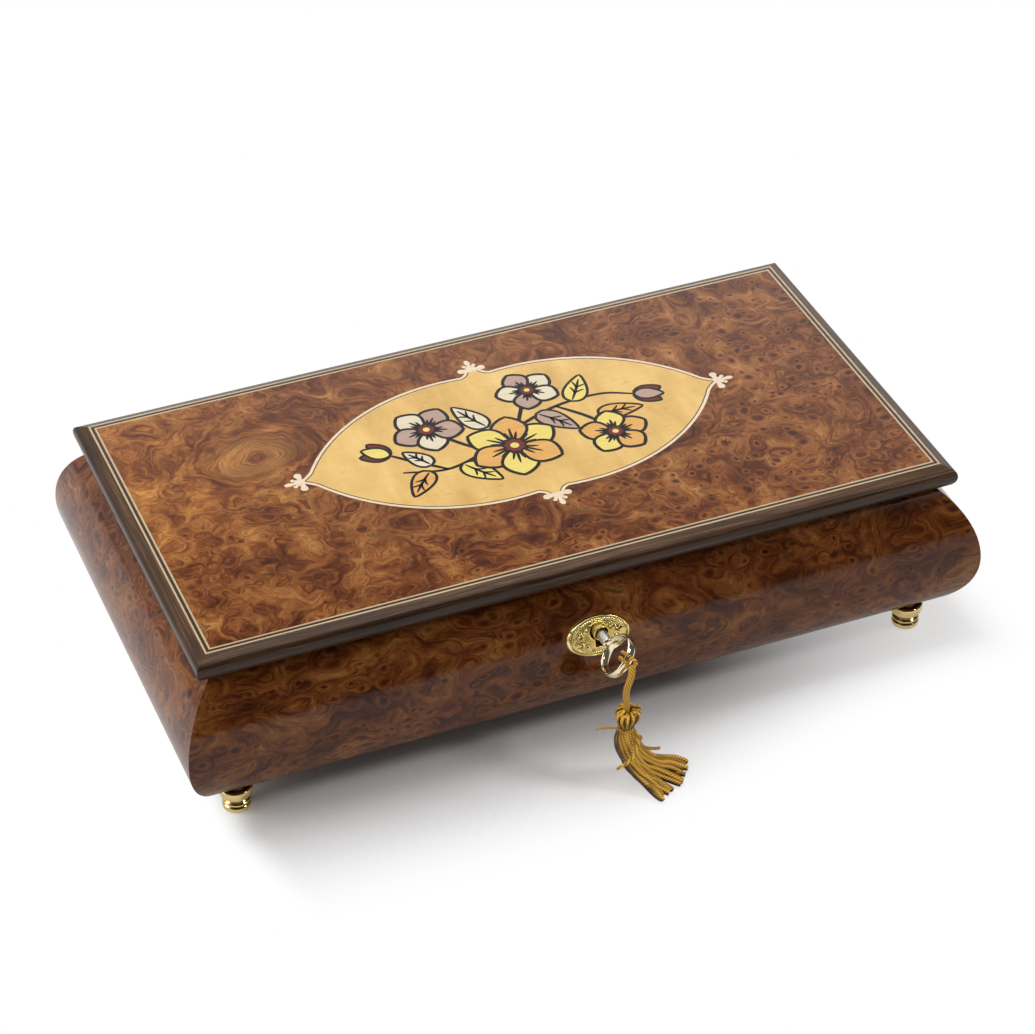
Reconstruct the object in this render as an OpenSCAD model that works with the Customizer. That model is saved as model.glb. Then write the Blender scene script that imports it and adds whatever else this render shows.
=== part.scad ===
// Inlaid cylinder music box: a mitred box with swelling walls on turned brass feet, a moulded lid with
// stringing and a cartouche, a keyed lock with a tassel, velvet trays, and a pinned-cylinder movement.
// Millimetres. The origin is on the floor under the middle of the box, the front faces -Y, up is +Z.

/* [Case] */
// Width of the box across the belly of its walls
case_w = 300; // [285:1:330]
// Depth of the box across the belly of its walls, front to back
case_d = 166; // [158:1:190]
// Height of the walls
case_h = 54; // [52:1:60]
// Height of the widest line of the walls above their bottom edge
belly_h = 24; // [21:1:27]
// How far the rim lies inside the widest line
neck_inset = 17; // [15:0.5:18]
// How far the bottom edge lies inside the widest line
bottom_inset = 13; // [11:0.5:15]
// Thickness of the walls at the rim
rim_t = 8; // [7.5:0.5:9]
// Thickness of the base panel
base_t = 5; // [4:0.5:6]
// Height of the base panel's underside above the bottom edge of the walls
base_recess = 3; // [2:0.5:4]
// Depth of the groove in the walls that holds the base panel
base_groove = 4; // [3:0.5:4.5]

/* [Feet] */
// Height of the feet under the walls
foot_h = 11; // [10:0.5:14]
// Diameter of a foot's bowl at its top
foot_bowl_d = 12.4; // [11:0.2:14]
// Diameter of a foot's ring on the floor
foot_ring_d = 9.8; // [9:0.2:11]
// Diameter of the neck under the wall
foot_neck_d = 6.6; // [6:0.2:7]
// Diameter of the stud that goes up into the wall
foot_stud_d = 4; // [3:0.2:4]
// Length of the stud
foot_stud_l = 8; // [6:0.5:10]
// Distance of a foot's middle from the left or right bottom edge
foot_margin_w = 7; // [7:0.5:9]
// Distance of a foot's middle from the front or back bottom edge
foot_margin_d = 3.5; // [3.4:0.1:4]

/* [Lid] */
// How far the lid's moulding reaches past the rim on each side
lid_overhang = 9.25; // [9:0.25:11]
// Thickness of the lid
lid_h = 8; // [7:0.25:9]
// Gap between the closed lid and the rim
lid_gap = 0.3; // [0.2:0.05:0.5]
// Width of the moulding round the lid
rail_w = 4.75; // [4.5:0.25:6]
// Fall of the moulding's top, in degrees
rail_fall = 22; // [18:1:26]
// Radius of the round at the moulding's upper edge
rail_edge_r = 2.5; // [1.5:0.25:3]
// Radius of the moulding's face
rail_face_r = 5.5; // [5:0.25:7]
// Height of the moulding's widest line
rail_nose_h = 3.75; // [3:0.25:4.5]
// Depth of the inlaid veneers
inlay_t = 0.6; // [0.4:0.1:1]
// Width of a stringing line
string_w = 0.7; // [0.5:0.1:1]
// Distance from the outer line's outside to the inner line's outside
string_pitch = 1.8; // [1.5:0.1:3]
// Half the length of the cartouche's field
field_half_l = 78; // [70:1:84]
// Half the height of the cartouche's field
field_half_h = 38; // [36:0.5:42]
// Distance of the two lenses' middles from the cartouche's middle
field_lobe = 14; // [12:1:20]
// How far the outline is drawn out at its upper and lower cusp
field_cusp = 3; // [2:0.5:4]
// How far the outline is drawn out at its two ends
field_end = 2; // [1:0.5:3]
// Width of the pale line round the field
field_line_w = 1.1; // [0.8:0.1:2]
// Sideways place of the cartouche's middle on the lid
field_x = 4.5; // [-6:0.5:6]
// Place of the cartouche's middle towards the back
field_y = 8; // [-8:0.5:8]
// Thickness of the lid's lining board
lining_t = 2.5; // [2:0.5:4]
// Clear space between the lining board and the inside of the walls
lining_margin = 7; // [5:0.5:12]

/* [Hinges] */
// Distance of each hinge's middle from the widest line of the nearer end wall
hinge_end = 65; // [50:1:90]
// Length of a hinge
hinge_l = 26; // [22:1:36]
// Thickness of the leaves
leaf_t = 1.2; // [1:0.1:1.6]
// Diameter of the knuckles
knuckle_d = 4; // [3.6:0.1:4.4]
// Diameter of the pin
hinge_pin_d = 1.8; // [1.4:0.1:2.2]
// Distance of the hinge line behind the lid's back edge
hinge_back = 2.8; // [2.6:0.1:4]
// Diameter of a screw's head
screw_head_d = 3.2; // [2.8:0.1:3.6]
// Diameter of a screw's shank
screw_shank_d = 1.6; // [1.2:0.1:2]
// Length of a screw's shank
screw_l = 5; // [4:0.5:5.5]

/* [Lock and key] */
// Distance of the key's axis below the rim
key_drop = 17.5; // [17:0.25:18.5]
// Length of the lock case
lock_w = 34; // [32:1:40]
// Depth of the lock case in the wall
lock_d = 6; // [5.6:0.2:7]
// Thickness of the lock case's plates
lock_plate_t = 1.2; // [1:0.1:1.4]
// Thickness of the bolt
bolt_t = 2.2; // [2:0.1:2.4]
// Length of the escutcheon
escutcheon_l = 24; // [22:0.5:28]
// Height of the escutcheon
escutcheon_h = 15.2; // [14:0.4:18]
// Thickness of the escutcheon
escutcheon_t = 1.2; // [0.8:0.1:1.6]
// Diameter of the key's shank
shank_d = 4.2; // [3.6:0.1:4.6]
// Outer diameter of the key's ring bow
bow_d = 17.4; // [16:0.2:20]
// Width of the bow's band
bow_band_w = 3; // [2.4:0.1:3.6]
// Thickness of the bow's band
bow_band_t = 1.3; // [1:0.1:1.6]
// Clear distance from the escutcheon to the bow
bow_reach = 5; // [4.5:0.25:7]
// Turn of the bow away from upright, clockwise from the front
bow_turn = 35; // [0:1:60]

/* [Tassel] */
// Diameter of the tassel's cord
cord_d = 2.6; // [2:0.1:3]
// Width of the tassel's head at its knot
head_d = 9; // [8:0.5:11]
// Width of the head at its tie
tie_d = 6.6; // [5.5:0.1:7.5]
// Thickness of the skirt's ends on the floor
skirt_end_t = 3; // [2:0.5:5]

/* [Trays] */
// Width of the movement's room at the left end
room_w = 76; // [75:1:82]
// Thickness of the partitions
partition_t = 4; // [3:0.5:5]
// Height of the partitions and trays below the rim
tray_drop = 4; // [3.5:0.5:8]
// Thickness of the velvet-covered trays
tray_t = 1.5; // [1:0.25:2]
// Length of the ring rolls
roll_l = 58; // [40:1:80]
// Number of ring rolls
roll_count = 5; // [3:1:6]
// Thickness of the clear cover over the movement
cover_t = 2; // [1.5:0.25:2.5]
// Clear space between the fan and the cover's top
cover_gap = 2.2; // [1:0.1:3]

/* [Movement] */
// Thickness of the bedplate
bed_t = 3; // [2.5:0.25:4]
// Diameter of the spring barrel
barrel_d = 26; // [25:0.5:27]
// Height of the spring barrel
barrel_h = 12; // [11:0.5:12.5]
// Wall thickness of the barrel
barrel_wall = 1.2; // [1:0.1:1.4]
// Diameter of the cylinder's drum
drum_d = 13; // [12:0.5:13.5]
// Clear space between the movement and the cover's side
movement_gap = 1; // [0.5:0.1:2]
// Height of the cylinder's pins
pin_h = 0.6; // [0.4:0.1:0.8]
// Number of teeth on the comb
comb_notes = 18; // [15:1:22]
// Thickness of the comb
comb_t = 1.2; // [1:0.1:1.4]
// Diameter of the cylinder's shaft
shaft_d = 2; // [1.6:0.1:2.4]
// Diameter of the winding arbor
arbor_d = 3; // [2.6:0.1:3.6]
// Span of the winding key's wings
wing_span = 24; // [20:0.5:26]
// Radius of the fan
fan_r = 4.5; // [3.5:0.25:5]

/* [Hidden] */
$fn = 64;

// Clearance of a pin, stud or screw in its hole
fit_gap = 0.05;
// Clearance between pieces that move past each other
run_gap = 0.4;
// Overshoot of a cut past the face that it leaves
cut = 1;

// Case: levels and the two arcs of the walls
rim_z = foot_h + case_h;
belly_z = foot_h + belly_h;
upper_rise = case_h - belly_h;
upper_r = (upper_rise * upper_rise + neck_inset * neck_inset) / (2 * neck_inset);
lower_r = (belly_h * belly_h + bottom_inset * bottom_inset) / (2 * bottom_inset);
belly_t = neck_inset + rim_t;
inner_w = case_w - 2 * belly_t;
inner_d = case_d - 2 * belly_t;
base_z = foot_h + base_recess;
floor_z = base_z + base_t;
foot_x = case_w / 2 - bottom_inset - foot_margin_w;
foot_y = case_d / 2 - bottom_inset - foot_margin_d;
// Height of a foot's ring, and heights of its bowl's lower and upper edge
foot_ring_h = 2.2;
foot_bowl_low = 3;
foot_neck_h = 3;
foot_bowl_high = foot_h - foot_neck_h;
foot_bowl_low_d = foot_ring_d - 0.8;
foot_waist_r = foot_bowl_low_d / 2 - 0.3;

// Lid: levels and the panel inside the moulding
lid_w = case_w - 2 * neck_inset + 2 * lid_overhang;
lid_d = case_d - 2 * neck_inset + 2 * lid_overhang;
lid_z = rim_z + lid_gap;
top_z = lid_z + lid_h;
panel_w = lid_w - 2 * rail_w;
panel_d = lid_d - 2 * rail_w;
// Moulding: the face's round and the edge's round touch where a line at rail_turn
// from the face's middle meets them, and the falling top touches the edge's round.
// The edge's round is drawn as short flats that run out through the face just before that
rail_face_mid = [rail_w - rail_face_r, rail_nose_h];
rail_lean = [sin(rail_fall), cos(rail_fall)];
rail_turn = 90 - rail_fall
    - acos((lid_h * rail_lean[1] - rail_edge_r - rail_face_mid * rail_lean) / (rail_face_r - rail_edge_r));
rail_edge_mid = rail_face_mid + (rail_face_r - rail_edge_r) * [cos(rail_turn), sin(rail_turn)];
rail_edge_steps = 8;
rail_edge_last = 90 - rail_turn - 7;
rail_edge_line = [
    for (k = [0:rail_edge_steps])
        let (tilt = rail_fall + (rail_edge_last - rail_fall) * k / rail_edge_steps)
            rail_edge_mid + rail_edge_r * [sin(tilt), cos(tilt)]
];
rail_way_out = rail_edge_line[rail_edge_steps]
    + rail_edge_r * [cos(rail_edge_last), -sin(rail_edge_last)];
// Each lens of the cartouche is two arcs of this radius that meet at its point
field_tip = field_half_l - field_lobe;
field_r = (field_tip * field_tip + field_half_h * field_half_h) / (2 * field_half_h);
// The drawn-out parts: hollow arcs that leave the lenses at these distances from the middle
// lines and run to a point, whose half width is given; each dips a little into its lens
cusp_w = 7.5;
cusp_half = 2.1;
end_w = 6.5;
end_half = 0.6;
draw_dip = 0.3;
function lens_at(lean) = [field_lobe, field_half_h - field_r] + field_r * lean;
function draw_r(from, lean, to) = (to - from) * (to - from) / (2 * (lean * (to - from)));
cusp_turn = asin((cusp_w - field_lobe) / field_r);
cusp_lean = [sin(cusp_turn), cos(cusp_turn)];
cusp_h = lens_at(cusp_lean)[1] + field_cusp;
cusp_r = draw_r(lens_at(cusp_lean), cusp_lean, [cusp_half, cusp_h]);
cusp_mid = lens_at(cusp_lean) + (cusp_r - draw_dip) * cusp_lean;
end_turn = acos((end_w + field_r - field_half_h) / field_r);
end_lean = [sin(end_turn), cos(end_turn)];
end_l = field_half_l + field_end;
end_r = draw_r(lens_at(end_lean), end_lean, [end_l, end_half]);
end_mid = lens_at(end_lean) + (end_r - draw_dip) * end_lean;
// Rounds of a sprig: those on its middle line by distance and radius, and those on both
// sides of it by distance, distance aside and radius
sprig_middle = [[1.4, 1.9], [3.6, 0.8], [4.7, 0.85], [5.9, 1.1], [6.7, 0.9]];
sprig_sides = [[1.3, 2.5, 1], [1.4, 4, 1.4], [2.9, 1.2, 0.75], [4, 1.9, 0.8]];

// Hinges
hinge_x = case_w / 2 - hinge_end;
hinge_y = lid_d / 2 + hinge_back;
hinge_z = rim_z + lid_gap / 2;
leaf_edge = 2;
leaf_front = inner_d / 2 + leaf_edge;
leaf_back = hinge_y - knuckle_d / 2 - 0.3;
knuckle_l = hinge_l / 3;
screw_x = hinge_l / 2 - 5;
screw_y = inner_d / 2 + rim_t / 2 + 0.8;

// Lock: the case lies flush in the front wall, from the rim down
lock_front = -inner_d / 2 - lock_d;
lock_mid_y = -inner_d / 2 - lock_d / 2;
key_z = rim_z - key_drop;
bit_r = shank_d / 2 + 3;
bit_gap = 0.4;
lock_h = key_drop + bit_r + bit_gap + lock_plate_t;
lock_bottom = rim_z - lock_h;
// Solid ends of the lock case, play round the bolt, and play round the staple
lock_end = 8;
bolt_gap = 0.3;
staple_gap = 0.5;
staple_x = -6;
staple_t = 2;
staple_w = bolt_t + 1.8;
staple_l = 9;
staple_eye_w = bolt_t + 0.5;
staple_eye_h = 4.8;
bolt_h = 4.2;
bolt_l = 14;
bolt_z = lid_z - staple_l + 1.4 + (staple_eye_h - bolt_h) / 2;
strike_l = 26;
strike_w = 5;
keyhole_r = shank_d / 2 + 1;
keyhole_slot_w = 3;
keyhole_slot_h = bit_r + bit_gap;
lock_screw_x = lock_w / 2 - 4;
lock_screw_z = lock_bottom + 4;
// Slope of the front wall at the escutcheon's middle, and the oval's two arc radii
escutcheon_z = key_z - 1.5;
escutcheon_tilt = asin((escutcheon_z - belly_z) / upper_r);
oval_end_r = 0.72 * escutcheon_h / 2;
oval_end_x = escutcheon_l / 2 - oval_end_r;
oval_rise = escutcheon_h / 2 - oval_end_r;
oval_drop = (oval_end_x * oval_end_x - oval_rise * oval_rise) / (2 * oval_rise);
oval_side_r = escutcheon_h / 2 + oval_drop;
oval_join_x = oval_end_x * oval_side_r / (oval_side_r - oval_end_r);
escutcheon_pin_r = 0.6;
escutcheon_pin_l = 6;
pin_head_r = 1.2;
pin_head_t = 0.5;
pin_head_lift = 0.02;
pin_head_x = escutcheon_l / 2 - 3.2;
// Key: faces of the wall and escutcheon along the key's axis, then the bow
wall_face_y = -(case_d / 2 - upper_r + sqrt(upper_r * upper_r - (key_z - belly_z) * (key_z - belly_z)));
bow_r = bow_d / 2;
bow_y = wall_face_y - escutcheon_t - bow_reach - bow_r;
bow_dome_r = bow_band_w * 0.9;
collar_d = shank_d + 1;
collar_l = 3;
bit_t = 1.8;
bit_l = lock_d - 2 * lock_plate_t - 0.8;

// Tassel: the hitch's place on the bow, then the cord's route from its front into the skirt
hitch_turn = 22;
hitch_mid_r = bow_r - bow_band_t / 2;
hitch_up = hitch_mid_r * sin(hitch_turn);
hitch_spot = [
    hitch_up * sin(bow_turn),
    bow_y - hitch_mid_r * cos(hitch_turn),
    key_z + hitch_up * cos(bow_turn)
];
hitch_w = 2.8;
hitch_cord_r = 0.7;
hitch_inner_r = norm([bow_band_w, bow_band_t]) / 2 + 0.25;
// A short knot at the hitch's front, on the line about which the tassel hangs, meets the cord's flat end
hitch_knot_in = hitch_inner_r + 0.3;
hitch_knot_out = hitch_inner_r + 2 * hitch_cord_r + 0.45;
cord_start = hitch_spot - [0, hitch_knot_out, 0];
cord_sides = 8;
cord_route = [
    [0, 0, 0], [0, -0.75, 0], [0, -1.75, -0.6], [0, -2.35, -1.7], [-0.1, -2.55, -3.2], [-0.6, -2.35, -5.5],
    [-1.6, -2.15, -8.5], [-2.4, -1.95, -11.5], [-2.4, -1.75, -14.5], [-1.9, -1.65, -19], [-1.6, -1.65, -23],
    [-1.4, -1.65, -27], [0.2, -2.45, -31], [2.2, -3.75, -35], [3.4, -4.75, -37.5]
];
head_top = cord_start + [-1.5, -1.75, -15];
head_foot = cord_start + [-1.4, -1.65, -25.6];
knot_h = 5;
knot_cap_h = 1;
knot_cap_d = head_d - 2.4;
tie_h = 1;
thread_sides = 32;
// Where the skirt's three outer bundles end on the floor, seen from above and measured from the hitch
skirt_spread = [[19.3, -5], [14.3, -13.5], [5.8, -17]];
skirt_end_r = 2.2;
skirt_lift = 0.4;

// Trays and partitions
room_x = -inner_w / 2 + room_w;
trays_x = room_x + partition_t;
trays_w = inner_w / 2 - trays_x;
tray_d = (inner_d - partition_t) / 2;
tray_top = rim_z - tray_drop;
roll_pitch = (tray_d - 2 * tray_t) / roll_count;
roll_r = roll_pitch / 2 - 0.1;

// Movement: the barrel stands at the left, the cylinder lies along X above the barrel's rim
crown_teeth = 48;
pinion_teeth = 12;
drive_teeth = 36;
governor_pinion_teeth = 9;
worm_wheel_teeth = 16;
tooth_face = 2;
crown_r = barrel_d / 2 - tooth_face / 2;
gear_module = 2 * crown_r / crown_teeth;
tooth_up = 0.7 * gear_module;
tooth_down = 0.95 * gear_module;
tooth_half = 0.17 * PI * gear_module;
tooth_root_half = 1.25 * tooth_half;
tooth_tip_half = 0.6 * tooth_half;
tooth_sink = 0.1;
bed_z = floor_z;
bed_top = bed_z + bed_t;
barrel_z = bed_top + run_gap;
barrel_top = barrel_z + barrel_h;
axis_y = 2;
axis_z = barrel_top + tooth_down + gear_module * pinion_teeth / 2;
barrel_room = 4;
barrel_x = -inner_w / 2 + barrel_room + barrel_d / 2;
pinion_x = barrel_x + crown_r - tooth_face / 2;
post_t = 2;
post_half = 3;
post_x = barrel_x + barrel_d / 2 + 2 * run_gap;
drum_x = post_x + post_t + 2 * run_gap;
// The governor is laid out from its cover's side; the drum fills the space that is left
wheel_face = 1.2;
wheel_gap = 2;
worm_r = 2;
far_cheek_x = room_x - cover_t - movement_gap - post_t;
worm_x = far_cheek_x - wheel_gap - worm_r;
wheel_x = worm_x - wheel_face / 2;
cheek_x = wheel_x - wheel_gap - post_t;
drive_x = cheek_x - 2 * run_gap - tooth_face;
drum_l = drive_x - drum_x;
worm_core_r = 1.15;
worm_pitch_r = worm_r - tooth_up;
worm_lead = PI * gear_module;
worm_turns = 3;
thread_half_angle = 40;
thread_slices = 16;
governor_y = axis_y + gear_module * (drive_teeth + governor_pinion_teeth) / 2;
governor_arbor_d = 1.4;
worm_y = governor_y + gear_module * worm_wheel_teeth / 2 + worm_pitch_r;
shelf_t = 2;
low_shelf_z = axis_z - 11;
high_shelf_z = axis_z + 6;
shelf_w = 6;
fan_z = high_shelf_z + shelf_t + run_gap;
fan_h = 4.5;
fan_t = 0.6;
cover_z = fan_z + fan_h + cover_gap + cover_t;
worm_shaft_r = 0.7;
plunger_r = 0.8;
plunger_y = worm_y + fan_r + 2.4;
plunger_collar_r = 1.6;
plunger_collar_h = 1;
plunger_tail = 3;
plunger_top = lid_z - lining_t - 0.2;
cheek_back = plunger_y + 3;
comb_tip_y = axis_y - drum_d / 2 - pin_h - run_gap;
comb_tooth_l = 14;
comb_seat_y = comb_tip_y - comb_tooth_l;
comb_seat_d = 12;
comb_pitch = drum_l / comb_notes;
comb_screw_r = 1;
comb_screw_l = 7;
comb_screw_head_t = 1.4;
comb_screw_shares = [0.2, 0.8];
pins_per_note = 4;
pin_r = 0.25;
pin_sides = 16;
// Turns in degrees from note to note, from pin to pin on one note, and the drift of the latter per note
pin_note_turn = 137;
pin_next_turn = 74;
pin_drift = 11;
bed_left = -inner_w / 2 + 2;
bed_right = far_cheek_x + post_t;
bed_front = comb_seat_y - comb_seat_d - 3;
bed_back = cheek_back;
spring_turns = 5;
spring_steps = 24;
spring_t = 0.5;
spring_in_r = arbor_d / 2 + 0.8;
spring_out_r = barrel_d / 2 - barrel_wall - 0.8;
wing_t = 2.4;
wing_h = base_z - 4;
key_hub_d = 8;
arbor_room = 1;
arbor_end = 0.6;
movement_screw_d = 3;
movement_head_t = 1.2;
movement_screw_spots = [
    [bed_left + 5, bed_front + 5], [bed_right - 6, bed_front + 5], [bed_left + 5, bed_back - 5]
];

// Two half discs that meet at the belly, cut off by the inner face, the bottom and the rim
module wall_profile() {
    intersection() {
        square([belly_t, case_h]);
        union() {
            intersection() {
                translate([belly_t - upper_r, belly_h]) circle(upper_r);
                translate([0, belly_h]) square([belly_t, upper_rise]);
            }
            intersection() {
                translate([belly_t - lower_r, belly_h]) circle(lower_r);
                square([belly_t, belly_h]);
            }
        }
    }
}

// A bar that faces +X at a distance from the middle, mitred at both ends; its profile is the child
module mitred_bar(distance, length, width, height) {
    inner_half = length / 2 - width;
    intersection() {
        translate([distance, 0, 0])
            rotate([90, 0, 0])
                linear_extrude(length, center = true)
                    children();
        linear_extrude(height)
            polygon([
                [distance, -inner_half], [distance + width, -length / 2],
                [distance + width, length / 2], [distance, inner_half]
            ]);
    }
}

module end_wall() {
    translate([0, 0, foot_h])
        mitred_bar(inner_w / 2, case_d, belly_t, case_h) wall_profile();
}

module long_wall() {
    translate([0, 0, foot_h])
        mitred_bar(inner_d / 2, case_w, belly_t, case_h) wall_profile();
}

module base_block() {
    translate([0, 0, base_z + base_t / 2])
        cube([inner_w + 2 * base_groove, inner_d + 2 * base_groove, base_t], center = true);
}

module stud_holes() {
    for (x = [-foot_x, foot_x], y = [-foot_y, foot_y])
        translate([x, y, foot_h - cut])
            cylinder(d = foot_stud_d + 2 * fit_gap, h = foot_stud_l + cut + fit_gap);
}

// Round keyhole with a slot under it for the key's bit, cut along Y
module keyhole(from_y, to_y) {
    translate([0, to_y, key_z])
        rotate([90, 0, 0]) {
            cylinder(r = keyhole_r, h = to_y - from_y);
            translate([-keyhole_slot_w / 2, -keyhole_slot_h, 0])
                cube([keyhole_slot_w, keyhole_slot_h, to_y - from_y]);
        }
}

module lock_block() {
    translate([-lock_w / 2, lock_front, lock_bottom])
        cube([lock_w, lock_d, lock_h]);
}

module wall_front() {
    color("saddlebrown")
        difference() {
            rotate([0, 0, -90]) long_wall();
            base_block();
            stud_holes();
            lock_block();
            translate([0, 0, cut]) lock_block();
            keyhole(-case_d / 2, lock_front + cut);
            pin_shanks(escutcheon_pin_r + fit_gap, escutcheon_pin_l + fit_gap);
            lock_screw_holes();
        }
}

module wall_back() {
    color("saddlebrown")
        difference() {
            rotate([0, 0, 90]) long_wall();
            base_block();
            stud_holes();
            for (side = [-1, 1]) {
                translate([side * hinge_x - hinge_l / 2, leaf_front, rim_z - leaf_t])
                    cube([hinge_l, rim_t, leaf_t + cut]);
                at_screws(side)
                    translate([0, 0, rim_z - leaf_t - screw_l - fit_gap])
                        cylinder(d = screw_shank_d + 2 * fit_gap, h = screw_l + cut);
            }
        }
}

module wall_right() {
    color("saddlebrown")
        difference() {
            end_wall();
            base_block();
        }
}

module wall_left() {
    color("saddlebrown")
        difference() {
            rotate([0, 0, 180]) end_wall();
            base_block();
        }
}

module base_panel() {
    color("tan")
        difference() {
            base_block();
            translate([barrel_x, axis_y, base_z - cut])
                cylinder(d = arbor_d + 2 * arbor_room, h = base_t + 2 * cut);
            movement_screw_holes();
        }
}

// A turned foot: a ring on the floor, a bowl that widens upwards, a neck and a stud
module foot(x, y) {
    top_r = foot_bowl_d / 2;
    low_r = foot_bowl_low_d / 2;
    bowl_h = foot_bowl_high - foot_bowl_low;
    bowl_r = (bowl_h * bowl_h + (top_r - low_r) * (top_r - low_r)) / (2 * (top_r - low_r));
    color("goldenrod")
        translate([x, y, 0]) {
            rotate_extrude() {
                square([foot_ring_d / 2 - foot_ring_h / 2, foot_ring_h]);
                translate([foot_ring_d / 2 - foot_ring_h / 2, foot_ring_h / 2]) circle(foot_ring_h / 2);
                square([foot_waist_r, foot_bowl_low]);
                intersection() {
                    translate([top_r - bowl_r, foot_bowl_high]) circle(bowl_r);
                    translate([0, foot_bowl_low]) square([top_r, bowl_h]);
                }
                translate([0, foot_bowl_high]) square([foot_neck_d / 2, foot_h - foot_bowl_high]);
            }
            translate([0, 0, foot_h - cut])
                cylinder(d = foot_stud_d, h = foot_stud_l + cut);
        }
}

module foot_front_left() foot(-foot_x, -foot_y);
module foot_front_right() foot(foot_x, -foot_y);
module foot_back_left() foot(-foot_x, foot_y);
module foot_back_right() foot(foot_x, foot_y);

// Moulding: a top that falls outward, a round at its edge and a long round down the face
module rail_profile() {
    intersection() {
        polygon(concat([[0, 0], [0, lid_h]], rail_edge_line, [rail_way_out, [rail_way_out[0], 0]]));
        translate(rail_face_mid) circle(rail_face_r);
    }
}

module end_rail() {
    color("#3a2a22")
        translate([0, 0, lid_z])
            mitred_bar(panel_w / 2, lid_d, rail_w, lid_h) rail_profile();
}

module long_rail() {
    color("#3a2a22")
        translate([0, 0, lid_z])
            mitred_bar(panel_d / 2, lid_w, rail_w, lid_h) rail_profile();
}

module rail_right() end_rail();
module rail_left() rotate([0, 0, 180]) end_rail();
module rail_front() rotate([0, 0, -90]) long_rail();

module rail_back() {
    color("#3a2a22")
        difference() {
            rotate([0, 0, 90]) long_rail();
            lid_leaf_mortises();
        }
}

// One stringing line round the panel, set in from the panel's edge
module string_frame(inset) {
    translate([0, 0, top_z - inlay_t])
        linear_extrude(inlay_t)
            difference() {
                square([panel_w - 2 * inset, panel_d - 2 * inset], center = true);
                square([panel_w - 2 * (inset + string_w), panel_d - 2 * (inset + string_w)], center = true);
            }
}

module stringing_outer() color("wheat") string_frame(0);
module stringing_inner() color("wheat") string_frame(string_pitch);

// Drawn-out part of the outline towards +Y
module drawn_cusp(grow) {
    difference() {
        translate([-cusp_w, field_half_h - cusp_w])
            square([2 * cusp_w, cusp_h - field_half_h + cusp_w + grow]);
        for (side = [-1, 1])
            translate([side * cusp_mid[0], cusp_mid[1]]) circle(cusp_r - grow);
    }
}

// Drawn-out part of the outline towards +X
module drawn_end(grow) {
    difference() {
        translate([field_half_l - 2 * end_w, -end_w])
            square([2 * end_w + field_end + grow, 2 * end_w]);
        for (side = [-1, 1])
            translate([end_mid[0], side * end_mid[1]]) circle(end_r - grow, $fn = 128);
    }
}

// Two lenses side by side, each where two equal discs cross, drawn out at the cusps and ends;
// grow widens the whole outline
module cartouche_outline(grow) {
    for (turn = [0, 180])
        rotate(turn) {
            drawn_cusp(grow);
            drawn_end(grow);
        }
    for (side = [-1, 1])
        intersection() {
            translate([side * field_lobe, field_half_h - field_r]) circle(field_r + grow, $fn = 128);
            translate([side * field_lobe, field_r - field_half_h]) circle(field_r + grow, $fn = 128);
        }
}

// A small sprig that points along +X from a point of the outline
module sprig() {
    for (lobe = sprig_middle)
        translate([lobe[0], 0]) circle(lobe[1]);
    for (lobe = sprig_sides, side = [-1, 1])
        translate([lobe[0], side * lobe[1]]) circle(lobe[2]);
}

module sprigs_outline() {
    for (side = [0, 180]) {
        rotate(side) translate([end_l, 0]) sprig();
        rotate(side + 90) translate([cusp_h, 0]) sprig();
    }
}

module at_cartouche() {
    translate([field_x, field_y, top_z - inlay_t])
        linear_extrude(inlay_t)
            children();
}

module cartouche_field() {
    color("burlywood") at_cartouche() cartouche_outline(0);
}

module cartouche_line() {
    color("antiquewhite")
        at_cartouche()
            difference() {
                cartouche_outline(field_line_w);
                cartouche_outline(0);
            }
}

module cartouche_sprigs() {
    color("antiquewhite")
        at_cartouche()
            difference() {
                sprigs_outline();
                cartouche_outline(field_line_w);
            }
}

module lid_leaf_mortises() {
    for (side = [-1, 1])
        translate([side * hinge_x - hinge_l / 2, leaf_front, lid_z - cut])
            cube([hinge_l, leaf_back - leaf_front + cut, leaf_t + cut]);
}

module strike_block(height) {
    translate([-strike_l / 2 + staple_x, lock_mid_y - strike_w / 2, lid_z])
        cube([strike_l, strike_w, height]);
}

module lid_panel() {
    color("sienna")
        difference() {
            translate([0, 0, lid_z + lid_h / 2])
                cube([panel_w, panel_d, lid_h], center = true);
            string_frame(0);
            string_frame(string_pitch);
            at_cartouche() cartouche_outline(field_line_w);
            at_cartouche() sprigs_outline();
            lid_leaf_mortises();
            strike_block(leaf_t);
            for (side = [-1, 1])
                at_screws(side)
                    translate([0, 0, lid_z])
                        cylinder(d = screw_shank_d + 2 * fit_gap, h = leaf_t + screw_l + fit_gap);
        }
}

module lid_lining() {
    color("maroon")
        translate([0, 0, lid_z - lining_t / 2])
            cube([inner_w - 2 * lining_margin, inner_d - 2 * lining_margin, lining_t], center = true);
}

// Hinges: each leaf lies in its mortise and reaches out behind the lid to its knuckles
module at_screws(side) {
    for (offset = [-screw_x, screw_x])
        translate([side * hinge_x + offset, screw_y, 0])
            children();
}

module knuckle(x, length) {
    translate([x - length / 2, hinge_y, hinge_z])
        rotate([0, 90, 0])
            cylinder(d = knuckle_d, h = length);
}

module knuckle_tab(x, length, low_z) {
    translate([x - length / 2, leaf_back - cut, low_z])
        cube([length, hinge_y - leaf_back + cut, leaf_t]);
}

module pin_bore(x) {
    translate([x - hinge_l / 2 - cut, hinge_y, hinge_z])
        rotate([0, 90, 0])
            cylinder(d = hinge_pin_d + 2 * fit_gap, h = hinge_l + 2 * cut);
}

module leaf_plate(x, low_z) {
    translate([x - hinge_l / 2, leaf_front, low_z])
        cube([hinge_l, leaf_back - leaf_front, leaf_t]);
}

module screw_head_holes(side, low_z) {
    at_screws(side)
        translate([0, 0, low_z - cut])
            cylinder(d = screw_head_d + 2 * fit_gap, h = leaf_t + 2 * cut);
}

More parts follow.
